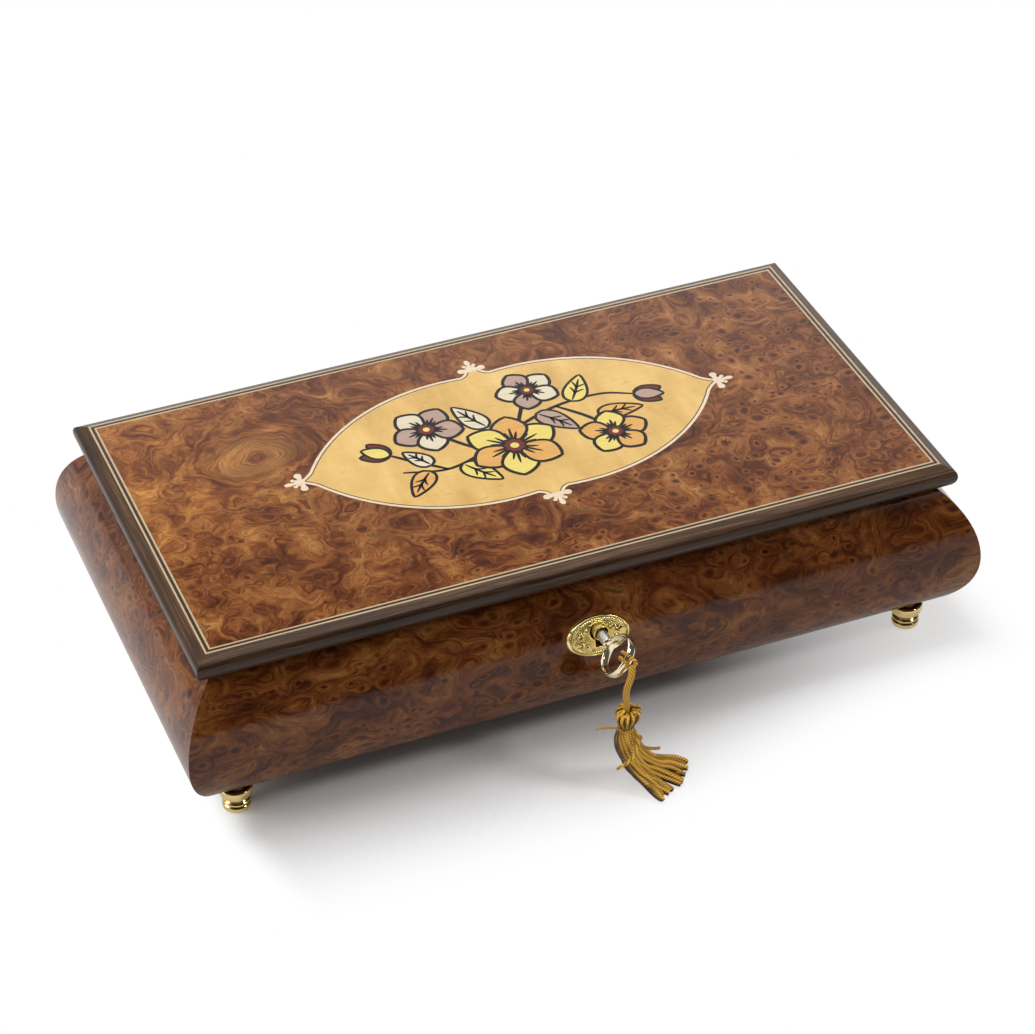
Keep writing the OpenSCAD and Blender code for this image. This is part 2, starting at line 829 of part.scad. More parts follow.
module box_leaf(side) {
    x = side * hinge_x;
    low_z = rim_z - leaf_t;
    color("goldenrod")
        difference() {
            union() {
                leaf_plate(x, low_z);
                for (end = [-knuckle_l, knuckle_l]) {
                    knuckle(x + end, knuckle_l - 2 * fit_gap);
                    knuckle_tab(x + end, knuckle_l - 2 * fit_gap, low_z);
                }
            }
            pin_bore(x);
            screw_head_holes(side, low_z);
        }
}

module lid_leaf(side) {
    x = side * hinge_x;
    color("goldenrod")
        difference() {
            union() {
                leaf_plate(x, lid_z);
                knuckle(x, knuckle_l - 2 * fit_gap);
                knuckle_tab(x, knuckle_l - 2 * fit_gap, lid_z);
            }
            pin_bore(x);
            screw_head_holes(side, lid_z);
        }
}

module hinge_left_box_leaf() box_leaf(-1);
module hinge_right_box_leaf() box_leaf(1);
module hinge_left_lid_leaf() lid_leaf(-1);
module hinge_right_lid_leaf() lid_leaf(1);

module hinge_pin(side) {
    color("darkgoldenrod")
        translate([side * hinge_x - hinge_l / 2, hinge_y, hinge_z])
            rotate([0, 90, 0])
                cylinder(d = hinge_pin_d, h = hinge_l);
}

module hinge_left_pin() hinge_pin(-1);
module hinge_right_pin() hinge_pin(1);

module hinge_box_screws() {
    color("goldenrod")
        for (side = [-1, 1])
            at_screws(side) {
                translate([0, 0, rim_z - leaf_t]) cylinder(d = screw_head_d, h = leaf_t);
                translate([0, 0, rim_z - leaf_t - screw_l]) cylinder(d = screw_shank_d, h = screw_l);
            }
}

module hinge_lid_screws() {
    color("goldenrod")
        for (side = [-1, 1])
            at_screws(side) {
                translate([0, 0, lid_z]) cylinder(d = screw_head_d, h = leaf_t);
                translate([0, 0, lid_z + leaf_t]) cylinder(d = screw_shank_d, h = screw_l);
            }
}

// Lock: a flat case with the bolt inside, an eye on the lid that drops into it, and the key
module lock_screw_holes() {
    for (x = [-lock_screw_x, lock_screw_x])
        translate([x, -inner_d / 2 + cut, lock_screw_z])
            rotate([90, 0, 0])
                cylinder(d = screw_shank_d + 2 * fit_gap, h = lock_d + screw_l + cut + fit_gap);
}

module lock_case() {
    hollow = lock_d - 2 * lock_plate_t;
    color("silver")
        difference() {
            lock_block();
            translate([-lock_w / 2 + lock_end, lock_front + lock_plate_t, lock_bottom + lock_plate_t])
                cube([lock_w - 2 * lock_end, hollow, lock_h - 2 * lock_plate_t]);
            translate([-lock_w / 2 + lock_plate_t, lock_front + lock_plate_t, bolt_z - bolt_gap])
                cube([lock_w - 2 * lock_plate_t, hollow, bolt_h + 2 * bolt_gap]);
            translate([staple_x, lock_mid_y, lid_z - staple_l - staple_gap + lock_h / 2])
                cube([staple_t + 2 * staple_gap, staple_w + 2 * staple_gap, lock_h], center = true);
            translate([-keyhole_slot_w / 2, lock_front - cut, key_z - keyhole_slot_h])
                cube([keyhole_slot_w, lock_plate_t + 2 * cut, keyhole_slot_h]);
            translate([0, lock_front + lock_d / 2, key_z])
                rotate([90, 0, 0])
                    cylinder(d = shank_d + 2 * fit_gap, h = lock_d);
            lock_screw_holes();
        }
}

module lock_screws() {
    color("silver")
        for (x = [-lock_screw_x, lock_screw_x])
            translate([x, -inner_d / 2, lock_screw_z])
                rotate([90, 0, 0])
                    cylinder(d = screw_shank_d, h = lock_d + screw_l);
}

module lock_bolt() {
    color("gray")
        translate([staple_x + staple_t / 2 + run_gap, lock_mid_y - bolt_t / 2, bolt_z])
            cube([bolt_l, bolt_t, bolt_h]);
}

module strike_plate() {
    color("goldenrod") {
        strike_block(leaf_t);
        difference() {
            translate([staple_x - staple_t / 2, lock_mid_y - staple_w / 2, lid_z - staple_l])
                cube([staple_t, staple_w, staple_l + leaf_t]);
            translate([staple_x, lock_mid_y, bolt_z + bolt_h / 2])
                cube([staple_t + 2 * cut, staple_eye_w, staple_eye_h], center = true);
        }
    }
}

// An oval of four arcs: two end discs and the part where two large discs cross
module oval() {
    intersection() {
        translate([0, -oval_drop]) circle(oval_side_r, $fn = 128);
        translate([0, oval_drop]) circle(oval_side_r, $fn = 128);
        square([2 * oval_join_x, 2 * escutcheon_h], center = true);
    }
    for (side = [-1, 1])
        translate([side * oval_end_x, 0]) circle(oval_end_r);
}

// Children lie on the front wall's upper arc: local X is sideways, local -Y points out of the wall
module on_front_swell() {
    translate([0, upper_r - case_d / 2, belly_z])
        rotate([-escutcheon_tilt, 0, 0])
            children();
}

module swell_cylinder(grow) {
    rotate([0, 90, 0])
        cylinder(r = upper_r + grow, h = escutcheon_l + 2 * cut, center = true, $fn = 128);
}

module escutcheon() {
    color("gold")
        difference() {
            on_front_swell()
                difference() {
                    intersection() {
                        rotate([90, 0, 0])
                            linear_extrude(upper_r + 2 * escutcheon_t)
                                oval();
                        swell_cylinder(escutcheon_t);
                    }
                    swell_cylinder(0);
                }
            keyhole(-case_d / 2 - 2 * escutcheon_t, lock_front);
            pin_shanks(escutcheon_pin_r + fit_gap, escutcheon_pin_l);
        }
}

// The shanks of the two escutcheon pins, driven square to the wall
module pin_shanks(radius, depth) {
    on_front_swell()
        for (side = [-1, 1])
            translate([side * pin_head_x, -upper_r + depth, 0])
                rotate([90, 0, 0])
                    cylinder(r = radius, h = depth + escutcheon_t + cut);
}

module escutcheon_pins() {
    color("gold") {
        on_front_swell()
            for (side = [-1, 1])
                translate([side * pin_head_x, -upper_r - escutcheon_t - pin_head_lift, 0])
                    rotate([90, 0, 0])
                        cylinder(r = pin_head_r, h = pin_head_t);
        on_front_swell()
            for (side = [-1, 1])
                translate([side * pin_head_x, -upper_r + escutcheon_pin_l, 0])
                    rotate([90, 0, 0])
                        cylinder(r = escutcheon_pin_r, h = escutcheon_pin_l + escutcheon_t + pin_head_t / 2);
    }
}

// Children are drawn about the key's axis with local Z along the axis, out of the box, and local Y up the bow
module on_key_axis(y) {
    translate([0, y, key_z])
        rotate([0, bow_turn, 0])
            rotate([90, 0, 0])
                children();
}

module key() {
    tip_y = lock_front + lock_d / 2 + bit_l / 2;
    color("gold") {
        on_key_axis(tip_y) {
            cylinder(d = shank_d, h = tip_y - bow_y - bow_r + bow_band_t / 2);
            translate([-bit_t / 2, -bit_r, 0]) cube([bit_t, bit_r, bit_l]);
        }
        on_key_axis(bow_y + bow_r - bow_band_t / 2 + collar_l)
            cylinder(d = collar_d, h = collar_l);
        on_key_axis(bow_y)
            rotate([0, 90, 0])
                rotate_extrude()
                    intersection() {
                        translate([bow_r - bow_band_t, -bow_band_w / 2]) square([bow_band_t, bow_band_w]);
                        translate([bow_r - bow_dome_r, 0]) circle(bow_dome_r);
                    }
    }
}

// Two wraps of cord side by side, as one outline
module hitch_profile() {
    translate([hitch_inner_r, -hitch_w / 2 + hitch_cord_r])
        square([2 * hitch_cord_r, hitch_w - 2 * hitch_cord_r]);
    for (side = [-1, 1])
        translate([hitch_inner_r + hitch_cord_r, side * (hitch_w / 2 - hitch_cord_r)])
            circle(hitch_cord_r);
}

// The cord's hitch round the front of the bow: one closed ring with a knot on its front
module cord_hitch() {
    color("darkgoldenrod") {
        on_key_axis(bow_y)
            rotate([-hitch_turn, 0, 0])
                translate([0, 0, hitch_mid_r])
                    rotate([90, 0, 0])
                        rotate_extrude()
                            hitch_profile();
        translate(hitch_spot - [0, hitch_knot_in, 0])
            rotate([90, 0, 0])
                cylinder(d = cord_d, h = hitch_knot_out - hitch_knot_in);
    }
}

// A round tube along a list of points: one ring of corners square to the route at each point
function unit(v) = v / norm(v);
function route_way(route, i) =
    unit(route[min(i + 1, len(route) - 1)] - route[max(i - 1, 0)]);
function ring_side(way) = unit(cross(way, [1, 0, 0]));
function tube_ring(route, i, radius, sides) =
    let (way = route_way(route, i), side = ring_side(way), other = cross(way, side))
    [for (k = [0 : sides - 1])
        route[i] + radius * (cos(360 * k / sides) * side + sin(360 * k / sides) * other)];
function tube_faces(rings, sides) = concat(
    [[for (k = [0 : sides - 1]) k]],
    [[for (k = [0 : sides - 1]) rings * sides - 1 - k]],
    [for (i = [0 : rings - 2], k = [0 : sides - 1], half = [0, 1])
        let (a = i * sides + k, b = i * sides + (k + 1) % sides)
        half == 0 ? [a, a + sides, b] : [b, a + sides, b + sides]]
);

module tube(route, radius, sides) {
    polyhedron(
        points = [for (i = [0 : len(route) - 1]) each tube_ring(route, i, radius, sides)],
        faces = tube_faces(len(route), sides)
    );
}

module tassel_cord() {
    color("darkgoldenrod")
        translate(cord_start)
            tube(cord_route, cord_d / 2, cord_sides);
}

// The head: a knot that narrows to the tie above the skirt
module tassel_head() {
    color("darkgoldenrod")
        hull() {
            translate(head_top - [0, 0, knot_h])
                cylinder(d = head_d, h = knot_h - knot_cap_h, $fn = thread_sides);
            translate(head_top - [0, 0, knot_cap_h])
                cylinder(d = knot_cap_d, h = knot_cap_h, $fn = thread_sides);
            translate(head_foot)
                cylinder(d = tie_d, h = tie_h, $fn = thread_sides);
        }
}

// The skirt: threads that hang from the tie and fan out where they lie on the floor
module tassel_skirt() {
    color("darkgoldenrod")
        hull() {
            translate(head_foot - [0, 0, tie_h])
                cylinder(d = tie_d, h = tie_h, $fn = thread_sides);
            for (spot = skirt_spread)
                translate([hitch_spot[0] + spot[0], hitch_spot[1] + spot[1], skirt_lift])
                    cylinder(r = skirt_end_r, h = skirt_end_t, $fn = thread_sides);
        }
}

// Inside: the partitions, two velvet trays, the ring rolls and the clear cover
module partition_long() {
    color("sienna")
        translate([room_x, -inner_d / 2, floor_z])
            cube([partition_t, inner_d, tray_top - floor_z]);
}

module partition_cross() {
    color("sienna")
        translate([trays_x, -partition_t / 2, floor_z])
            cube([trays_w, partition_t, tray_top - floor_z]);
}

module tray(low_y) {
    color("maroon")
        translate([trays_x, low_y, floor_z])
            difference() {
                cube([trays_w, tray_d, tray_top - floor_z]);
                translate([tray_t, tray_t, tray_t])
                    cube([trays_w - 2 * tray_t, tray_d - 2 * tray_t, tray_top - floor_z]);
            }
}

module tray_back() tray(partition_t / 2);
module tray_front() tray(-inner_d / 2);

module ring_rolls() {
    color("maroon")
        for (i = [0 : roll_count - 1])
            translate([
                inner_w / 2 - tray_t - roll_l,
                -inner_d / 2 + tray_t + (i + 0.5) * roll_pitch,
                floor_z + tray_t + roll_r
            ])
                rotate([0, 90, 0])
                    cylinder(r = roll_r, h = roll_l - fit_gap);
}

module movement_cover() {
    low_x = -inner_w / 2;
    leg_h = cover_z - floor_z;
    color("lightblue", 0.4)
        difference() {
            translate([low_x, -inner_d / 2, floor_z])
                cube([room_w, inner_d, leg_h]);
            translate([low_x + cover_t, -inner_d / 2 - cut, floor_z - cut])
                cube([room_w - 2 * cover_t, inner_d + 2 * cut, leg_h - cover_t + cut]);
            translate([worm_x, plunger_y, floor_z])
                cylinder(r = plunger_r + run_gap, h = leg_h + cut);
        }
}

// Movement: the bedplate with its comb seat, the bearings, the comb and the screws
module movement_screw_holes() {
    for (spot = movement_screw_spots)
        translate([spot[0], spot[1], base_z - cut])
            cylinder(d = movement_screw_d + 2 * fit_gap, h = base_t + bed_t + cut);
}

module comb_screw_holes() {
    for (share = comb_screw_shares)
        translate([drum_x + share * drum_l, comb_seat_y - comb_seat_d / 2, axis_z - comb_screw_l - cut])
            cylinder(r = comb_screw_r + fit_gap, h = comb_screw_l + cut + comb_t);
}

module bedplate() {
    color("silver")
        difference() {
            union() {
                translate([bed_left, bed_front, bed_z])
                    cube([bed_right - bed_left, bed_back - bed_front, bed_t]);
                translate([drum_x, comb_seat_y - comb_seat_d, bed_z])
                    cube([drum_l, comb_seat_d, axis_z - comb_t / 2 - bed_z]);
            }
            translate([barrel_x, axis_y, bed_z - cut])
                cylinder(d = arbor_d + 2 * fit_gap, h = bed_t + 2 * cut);
            movement_screw_holes();
            comb_screw_holes();
        }
}

module movement_screws() {
    color("silver")
        for (spot = movement_screw_spots)
            translate([spot[0], spot[1], base_z - movement_head_t]) {
                cylinder(d = 2 * movement_screw_d, h = movement_head_t);
                cylinder(d = movement_screw_d, h = movement_head_t + base_t + bed_t - cut);
            }
}

// A steel comb: one plate with slots between its teeth
module comb() {
    color("lightgray")
        difference() {
            translate([drum_x, comb_seat_y - comb_seat_d, axis_z - comb_t / 2])
                cube([drum_l, comb_seat_d + comb_tooth_l, comb_t]);
            for (i = [1 : comb_notes - 1])
                translate([drum_x + i * comb_pitch - comb_pitch / 6, comb_seat_y, axis_z - comb_t])
                    cube([comb_pitch / 3, comb_tooth_l + cut, 2 * comb_t]);
            comb_screw_holes();
        }
}

module comb_screws() {
    color("goldenrod")
        for (share = comb_screw_shares)
            translate([drum_x + share * drum_l, comb_seat_y - comb_seat_d / 2, axis_z]) {
                translate([0, 0, comb_t / 2]) cylinder(r = 2 * comb_screw_r, h = comb_screw_head_t);
                translate([0, 0, -comb_screw_l]) cylinder(r = comb_screw_r, h = comb_screw_l + comb_t / 2);
            }
}

module shaft_bore(from_x, length) {
    translate([from_x - cut, axis_y, axis_z])
        rotate([0, 90, 0])
            cylinder(d = shaft_d + 2 * fit_gap, h = length + 2 * cut);
}

module bearing_post() {
    color("silver")
        difference() {
            translate([post_x, axis_y - post_half, bed_top])
                cube([post_t, 2 * post_half, axis_z + post_half - bed_top]);
            shaft_bore(post_x, post_t);
        }
}

// Two cheeks joined by two shelves: they carry the governor wheel, the worm and the stop plunger
module governor_frame() {
    shelf_y = worm_y - shelf_w / 2;
    span = far_cheek_x + post_t - cheek_x;
    cheek_h = high_shelf_z + shelf_t - bed_top;
    color("goldenrod")
        difference() {
            union() {
                translate([cheek_x, axis_y - post_half, bed_top])
                    cube([post_t, cheek_back - axis_y + post_half, cheek_h]);
                translate([far_cheek_x, governor_y - post_half, bed_top])
                    cube([post_t, cheek_back - governor_y + post_half, cheek_h]);
                translate([cheek_x, shelf_y, low_shelf_z])
                    cube([span, shelf_w, shelf_t]);
                translate([cheek_x, shelf_y, high_shelf_z])
                    cube([span, cheek_back - shelf_y, shelf_t]);
            }
            shaft_bore(cheek_x, post_t);
            translate([cheek_x - cut, governor_y, axis_z])
                rotate([0, 90, 0])
                    cylinder(d = governor_arbor_d + 2 * fit_gap, h = span + 2 * cut);
            translate([worm_x, worm_y, low_shelf_z - cut])
                cylinder(r = worm_shaft_r + fit_gap, h = high_shelf_z - low_shelf_z + shelf_t + 2 * cut);
            translate([worm_x, plunger_y, high_shelf_z - cut])
                cylinder(r = plunger_r + fit_gap, h = shelf_t + 2 * cut);
        }
}

// One straight-sided gear tooth that points along +X, from below its root to its tip
module tooth_outline(pitch_r) {
    root_r = pitch_r - tooth_down - tooth_sink;
    tip_r = pitch_r + tooth_up;
    polygon([
        [root_r, -tooth_root_half], [tip_r, -tooth_tip_half],
        [tip_r, tooth_tip_half], [root_r, tooth_root_half]
    ]);
}

// A gear about X whose tooth number 0 points along the given angle from +Y towards +Z
module gear_on_x(teeth, face, angle) {
    pitch_r = gear_module * teeth / 2;
    rotate([90, 0, 90])
        rotate([0, 0, angle]) {
            cylinder(r = pitch_r - tooth_down, h = face);
            for (i = [0 : teeth - 1])
                rotate([0, 0, i * 360 / teeth])
                    linear_extrude(face) tooth_outline(pitch_r);
        }
}

// Where pin k of a note stands round the drum, in degrees: a plain spread with no tune in it
function pin_angle(note, k) = (note * pin_note_turn + k * (pin_next_turn + pin_drift * note)) % 360;

module cylinder_pins() {
    for (note = [0 : comb_notes - 1], k = [0 : pins_per_note - 1])
        translate([drum_x + (note + 0.5) * comb_pitch, axis_y, axis_z])
            rotate([pin_angle(note, k), 0, 0])
                cylinder(r = pin_r, h = drum_d / 2 + pin_h, $fn = pin_sides);
}

module cylinder_drum() {
    translate([drum_x, axis_y, axis_z])
        rotate([0, 90, 0])
            cylinder(d = drum_d, h = drum_l);
}

module cylinder_shaft() {
    translate([pinion_x, axis_y, axis_z])
        rotate([0, 90, 0])
            cylinder(d = shaft_d, h = cheek_x + post_t - pinion_x);
}

module pinned_cylinder() {
    color("khaki") {
        cylinder_drum();
        cylinder_pins();
        cylinder_shaft();
        translate([pinion_x, axis_y, axis_z]) gear_on_x(pinion_teeth, tooth_face, -90);
        translate([drive_x, axis_y, axis_z]) gear_on_x(drive_teeth, tooth_face, 0);
    }
}

// The barrel: a cup that opens downwards over the mainspring, with crown teeth on its upper rim
module spring_barrel() {
    half_pitch = 180 / crown_teeth;
    color("goldenrod")
        translate([barrel_x, axis_y, barrel_z]) {
            difference() {
                cylinder(d = barrel_d, h = barrel_h);
                translate([0, 0, -cut])
                    cylinder(d = barrel_d - 2 * barrel_wall, h = barrel_h - barrel_wall + cut);
                cylinder(d = arbor_d + 2 * fit_gap, h = barrel_h + cut);
            }
            for (i = [0 : crown_teeth - 1])
                rotate([0, 0, i * 360 / crown_teeth + half_pitch])
                    translate([crown_r - tooth_face / 2, 0, barrel_h + tooth_down])
                        rotate([90, 0, 90])
                            linear_extrude(tooth_face - tooth_sink)
                                crown_tooth_outline();
        }
}

// A crown tooth stands up from the rim; its height zero is on the pitch line
module crown_tooth_outline() {
    polygon([
        [-tooth_root_half, -tooth_down - tooth_sink], [tooth_root_half, -tooth_down - tooth_sink],
        [tooth_tip_half, tooth_up], [-tooth_tip_half, tooth_up]
    ]);
}

// A flat spiral from the arbor out to the barrel's wall
function spiral_point(turn, offset) =
    let (radius = spring_in_r + (spring_out_r - spring_in_r) * turn / spring_turns + offset)
    radius * [cos(360 * turn), sin(360 * turn)];

module mainspring() {
    steps = spring_steps * spring_turns;
    inner_line = [for (i = [0 : steps]) spiral_point(i * spring_turns / steps, 0)];
    outer_line = [for (i = [steps : -1 : 0]) spiral_point(i * spring_turns / steps, spring_t)];
    color("slategray")
        translate([barrel_x, axis_y, barrel_z + run_gap])
            linear_extrude(barrel_h - barrel_wall - 2 * run_gap)
                polygon(concat(inner_line, outer_line));
}

module winding_arbor() {
    low_z = base_z - wing_h / 2;
    color("silver")
        translate([barrel_x, axis_y, low_z])
            cylinder(d = arbor_d, h = barrel_top + arbor_end - low_z);
}

// A hub with two flat wings, under the base; the hub's bore takes the arbor's end
module winding_key() {
    hub_z = base_z - run_gap - wing_h;
    color("goldenrod")
        translate([barrel_x, axis_y, hub_z])
            difference() {
                union() {
                    cylinder(d = key_hub_d, h = wing_h);
                    for (side = [-1, 1]) {
                        translate([side * wing_span / 4, 0, wing_h / 2])
                            cube([wing_span / 2 - wing_h, wing_t, wing_h], center = true);
                        translate([side * (wing_span / 2 - wing_h / 2), 0, wing_h / 2])
                            rotate([90, 0, 0])
                                cylinder(d = wing_h, h = wing_t, center = true);
                    }
                }
                translate([0, 0, run_gap + wing_h / 2])
                    cylinder(d = arbor_d, h = wing_h);
            }
}

// Pinion and worm wheel on one arbor; the pinion has a gap where the drive wheel has a tooth
module governor_wheel() {
    color("gold") {
        translate([drive_x, governor_y, axis_z])
            gear_on_x(governor_pinion_teeth, tooth_face, 180 + 180 / governor_pinion_teeth);
        translate([wheel_x, governor_y, axis_z])
            gear_on_x(worm_wheel_teeth, wheel_face, 0);
        translate([drive_x, governor_y, axis_z])
            rotate([0, 90, 0])
                cylinder(d = governor_arbor_d, h = far_cheek_x + post_t - drive_x);
    }
}

// One slice of the worm's thread: a narrow sector about +X
module worm_thread_outline() {
    arc = [for (a = [-thread_half_angle : thread_half_angle / 2 : thread_half_angle]) [cos(a), sin(a)]];
    polygon(concat([[0, 0]], worm_r * arc));
}

// The worm: a shaft with one thread, and the fan on top; the thread leaves a gap at the wheel's tooth 0
module governor_worm() {
    thread_z = axis_z - worm_turns * worm_lead / 2;
    thread_start = 90 - 180 * worm_turns;
    color("silver")
        translate([worm_x, worm_y, 0]) {
            translate([0, 0, low_shelf_z])
                cylinder(r = worm_shaft_r, h = fan_z + fan_h - low_shelf_z);
            translate([0, 0, thread_z])
                cylinder(r = worm_core_r, h = worm_turns * worm_lead);
            translate([0, 0, thread_z])
                rotate([0, 0, thread_start])
                    linear_extrude(worm_turns * worm_lead, twist = -360 * worm_turns,
                        slices = thread_slices * worm_turns, segments = 1)
                        worm_thread_outline();
            translate([0, 0, fan_z + fan_h / 2])
                cube([2 * fan_r, fan_t, fan_h], center = true);
        }
}

module stop_plunger() {
    low_z = high_shelf_z - plunger_tail;
    color("silver")
        translate([worm_x, plunger_y, 0]) {
            translate([0, 0, low_z]) cylinder(r = plunger_r, h = plunger_top - low_z);
            translate([0, 0, fan_z]) cylinder(r = plunger_collar_r, h = plunger_collar_h);
        }
}

wall_front();
wall_right();
wall_back();
wall_left();
base_panel();
foot_front_left();
foot_front_right();
foot_back_left();
foot_back_right();
lid_panel();
rail_front();
rail_right();
rail_back();
rail_left();
stringing_outer();
stringing_inner();
cartouche_field();
cartouche_line();
cartouche_sprigs();
lid_lining();
hinge_left_box_leaf();
hinge_right_box_leaf();
hinge_left_lid_leaf();
hinge_right_lid_leaf();
hinge_left_pin();
hinge_right_pin();
hinge_box_screws();
hinge_lid_screws();
lock_case();
lock_screws();
lock_bolt();
strike_plate();
escutcheon();
escutcheon_pins();
key();
cord_hitch();
tassel_cord();
tassel_head();
tassel_skirt();
partition_long();
partition_cross();
tray_back();
tray_front();
ring_rolls();
movement_cover();
bedplate();
bearing_post();
governor_frame();
comb();
comb_screws();
pinned_cylinder();  // cylinder
spring_barrel();
mainspring();
winding_arbor();
winding_key();
governor_wheel();
governor_worm();
stop_plunger();
movement_screws();
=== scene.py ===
import bpy
import numpy as np
from mathutils import Matrix


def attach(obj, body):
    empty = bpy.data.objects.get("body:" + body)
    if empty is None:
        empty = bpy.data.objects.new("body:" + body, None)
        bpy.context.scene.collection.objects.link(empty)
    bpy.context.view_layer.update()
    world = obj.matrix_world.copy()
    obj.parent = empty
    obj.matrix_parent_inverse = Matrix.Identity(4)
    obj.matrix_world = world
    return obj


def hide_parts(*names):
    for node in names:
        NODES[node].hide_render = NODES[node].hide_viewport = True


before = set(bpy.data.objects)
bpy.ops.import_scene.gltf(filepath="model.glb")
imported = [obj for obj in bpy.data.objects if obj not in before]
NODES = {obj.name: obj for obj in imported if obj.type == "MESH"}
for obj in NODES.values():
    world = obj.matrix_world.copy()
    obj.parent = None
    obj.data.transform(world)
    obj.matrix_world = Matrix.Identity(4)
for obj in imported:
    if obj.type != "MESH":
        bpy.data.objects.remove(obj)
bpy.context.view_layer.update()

MM = 0.001

# Places from the part's source, in millimetres
BELLY_Z = 35.0
UPPER_R = 34.97
LOWER_R = 28.65
LID_TOP = 73.3
PANEL_HALF = (137.5, 70.5)
FIELD_MIDDLE = np.array([4.5, 8.0])
FIELD_HALF_L = 78.0
FIELD_HALF_H = 38.0
FIELD_LOBE = 14.0
KEY_Z = 47.5
FOOT_PLACE = (130.0, 66.5)
WALL_HALF = (150.0, 83.0)
WALL_INSIDE = (125.0, 58.0)
WALL_RIM_Z = 64.95
PLATE_Z = 46.0
PLATE_HALF = (12.0, 7.6)

# Places that come from the photo, in millimetres
BOW_MIDDLE = np.array([1.14, -96.0, 47.61])
BOW_R = 7.40
BOW_AXIS = np.array([0.7738, -0.1737, -0.6094])
BOW_FRONT = np.array([-0.1365, -0.9848, 0.1075])
BOW_RISE = np.array([0.6188, 0.0, 0.7857])
HITCH_TURN = np.radians(22.0)
HITCH_OUT = np.cos(HITCH_TURN) * BOW_FRONT + np.sin(HITCH_TURN) * BOW_RISE
HITCH_SPOT = BOW_MIDDLE + BOW_R * HITCH_OUT
HEAD_FOOT = np.array([-1.13, -108.6, 26.2])
HEAD_TOP = np.array([-0.35, -108.6, 32.8])
HEAD_TALL = 6.6
SWIRL_MIDDLE = (-87.0, 28.6, 0.0)
STRIP_WIDE = 1.85

# The photo's camera
SENSOR_MM = 36.0
FOCAL_PIXELS = 3276.18
PHOTO_PIXELS = 1035.0


# Camera

def stand(thing, right, up, back, spot):
    """Puts a camera or a lamp at a spot with its three axes, and adds it to the scene."""
    rows = [[right[i], up[i], back[i], spot[i]] for i in range(3)]
    thing.matrix_world = Matrix(rows + [[0, 0, 0, 1]])
    bpy.context.scene.collection.objects.link(thing)


def place_camera():
    """The photo's camera: its axes and its place in metres come from the box's square corners, and its
    lens from the focal length found with them."""
    data = bpy.data.cameras.new("photo_camera")
    data.sensor_fit = "HORIZONTAL"
    data.sensor_width = SENSOR_MM
    data.lens = SENSOR_MM * FOCAL_PIXELS / PHOTO_PIXELS
    data.clip_end = 30.0
    camera = bpy.data.objects.new("photo_camera", data)
    stand(camera, right=(0.92726, -0.37421, -0.01228), up=(0.23535, 0.55704, 0.79644),
          back=(-0.29120, -0.74140, 0.60460), spot=(-0.34784, -0.89203, 0.76736))
    bpy.context.scene.camera = camera


place_camera()


# Mesh helpers

def unit(arrows):
    """Arrows of length one, the same way as the given ones."""
    return arrows / np.linalg.norm(arrows, axis=-1, keepdims=True)


def whole_turn(count):
    """Even angles of one full turn."""
    return np.linspace(0, 2 * np.pi, count, endpoint=False)


def flattened(wave, power):
    """A wave from -1 to 1 with flatter tops, by a power of its size."""
    return np.sign(wave) * np.abs(wave) ** power


def line_through(stops, count):
    """A smooth line through the stops: a cubic between each pair whose slope at a stop is half the
    step between its neighbours, read at even lengths."""
    stops = np.asarray(stops, float)
    ends = np.concatenate([[2 * stops[0] - stops[1]], stops, [2 * stops[-1] - stops[-2]]])
    t = np.linspace(0, len(stops) - 1, 40 * len(stops))
    i = np.minimum(t.astype(int), len(stops) - 2)
    f = (t - i)[:, None]
    a, b, c, d = ends[i], ends[i + 1], ends[i + 2], ends[i + 3]
    fine = 0.5 * (2 * b + (c - a) * f + (2 * a - 5 * b + 4 * c - d) * f ** 2
                  + (3 * b - a - 3 * c + d) * f ** 3)
    run = np.concatenate([[0], np.cumsum(np.linalg.norm(np.diff(fine, axis=0), axis=1))])
    even = np.linspace(0, run[-1], count)
    return np.stack([np.interp(even, run, fine[:, k]) for k in range(3)], axis=1)


def tube(line, way, reference, reach):
    """Rings of points round a line. Each ring stands square to the line's way and starts on the side
    that the way and the reference give; the reach is the distance of each point from the line."""
    side = unit(np.cross(way, reference))
    up = np.cross(side, way)
    a = whole_turn(reach.shape[1])
    ring = np.cos(a)[None, :, None] * side[:, None, :] + np.sin(a)[None, :, None] * up[:, None, :]
    return line[:, None, :] + reach[..., None] * ring


def twisted_strand(line, radius, pitch, reference, around=12, plies=2, depth=0.32, taper=0.0,
                   girth=1.0, phase=0.0):
    """Twisted yarn carried along a line: at length s and angle a the surface is at
    radius * (1 - depth + depth * |cos(plies * (a - turn * s + phase) / 2)|) from the line, where turn
    is a full turn per pitch. The ends narrow by the taper, and the girth scales the radius along the
    line. Gives the points and the height of the plies."""
    way = unit(np.gradient(line, axis=0))
    step = np.linalg.norm(np.diff(line, axis=0), axis=1)
    s = np.concatenate([[0], np.cumsum(step)])
    a = whole_turn(around)
    ply = np.abs(np.cos(plies * (a[None, :] - 2 * np.pi * s[:, None] / pitch + phase) / 2))
    from_end = np.minimum(s, s[-1] - s)[:, None]
    narrow = 1 - taper * np.clip(1 - from_end / radius, 0, 1) ** 2
    r = radius * (1 - depth + depth * ply) * narrow * np.broadcast_to(girth, len(line))[:, None]
    return tube(line, way, reference, r), ply


def ring_strand(line, normal, radius, turns, around=12):
    """Twisted yarn round a closed flat loop: as for an open strand, with a whole number of twists."""
    depth = 0.3
    way = unit(np.roll(line, -1, axis=0) - np.roll(line, 1, axis=0))
    s = np.linspace(0, 2 * np.pi * turns, len(line), endpoint=False)
    ply = np.abs(np.cos(whole_turn(around)[None, :] - s[:, None]))
    return tube(line, way, normal, radius * (1 - depth + depth * ply)), ply


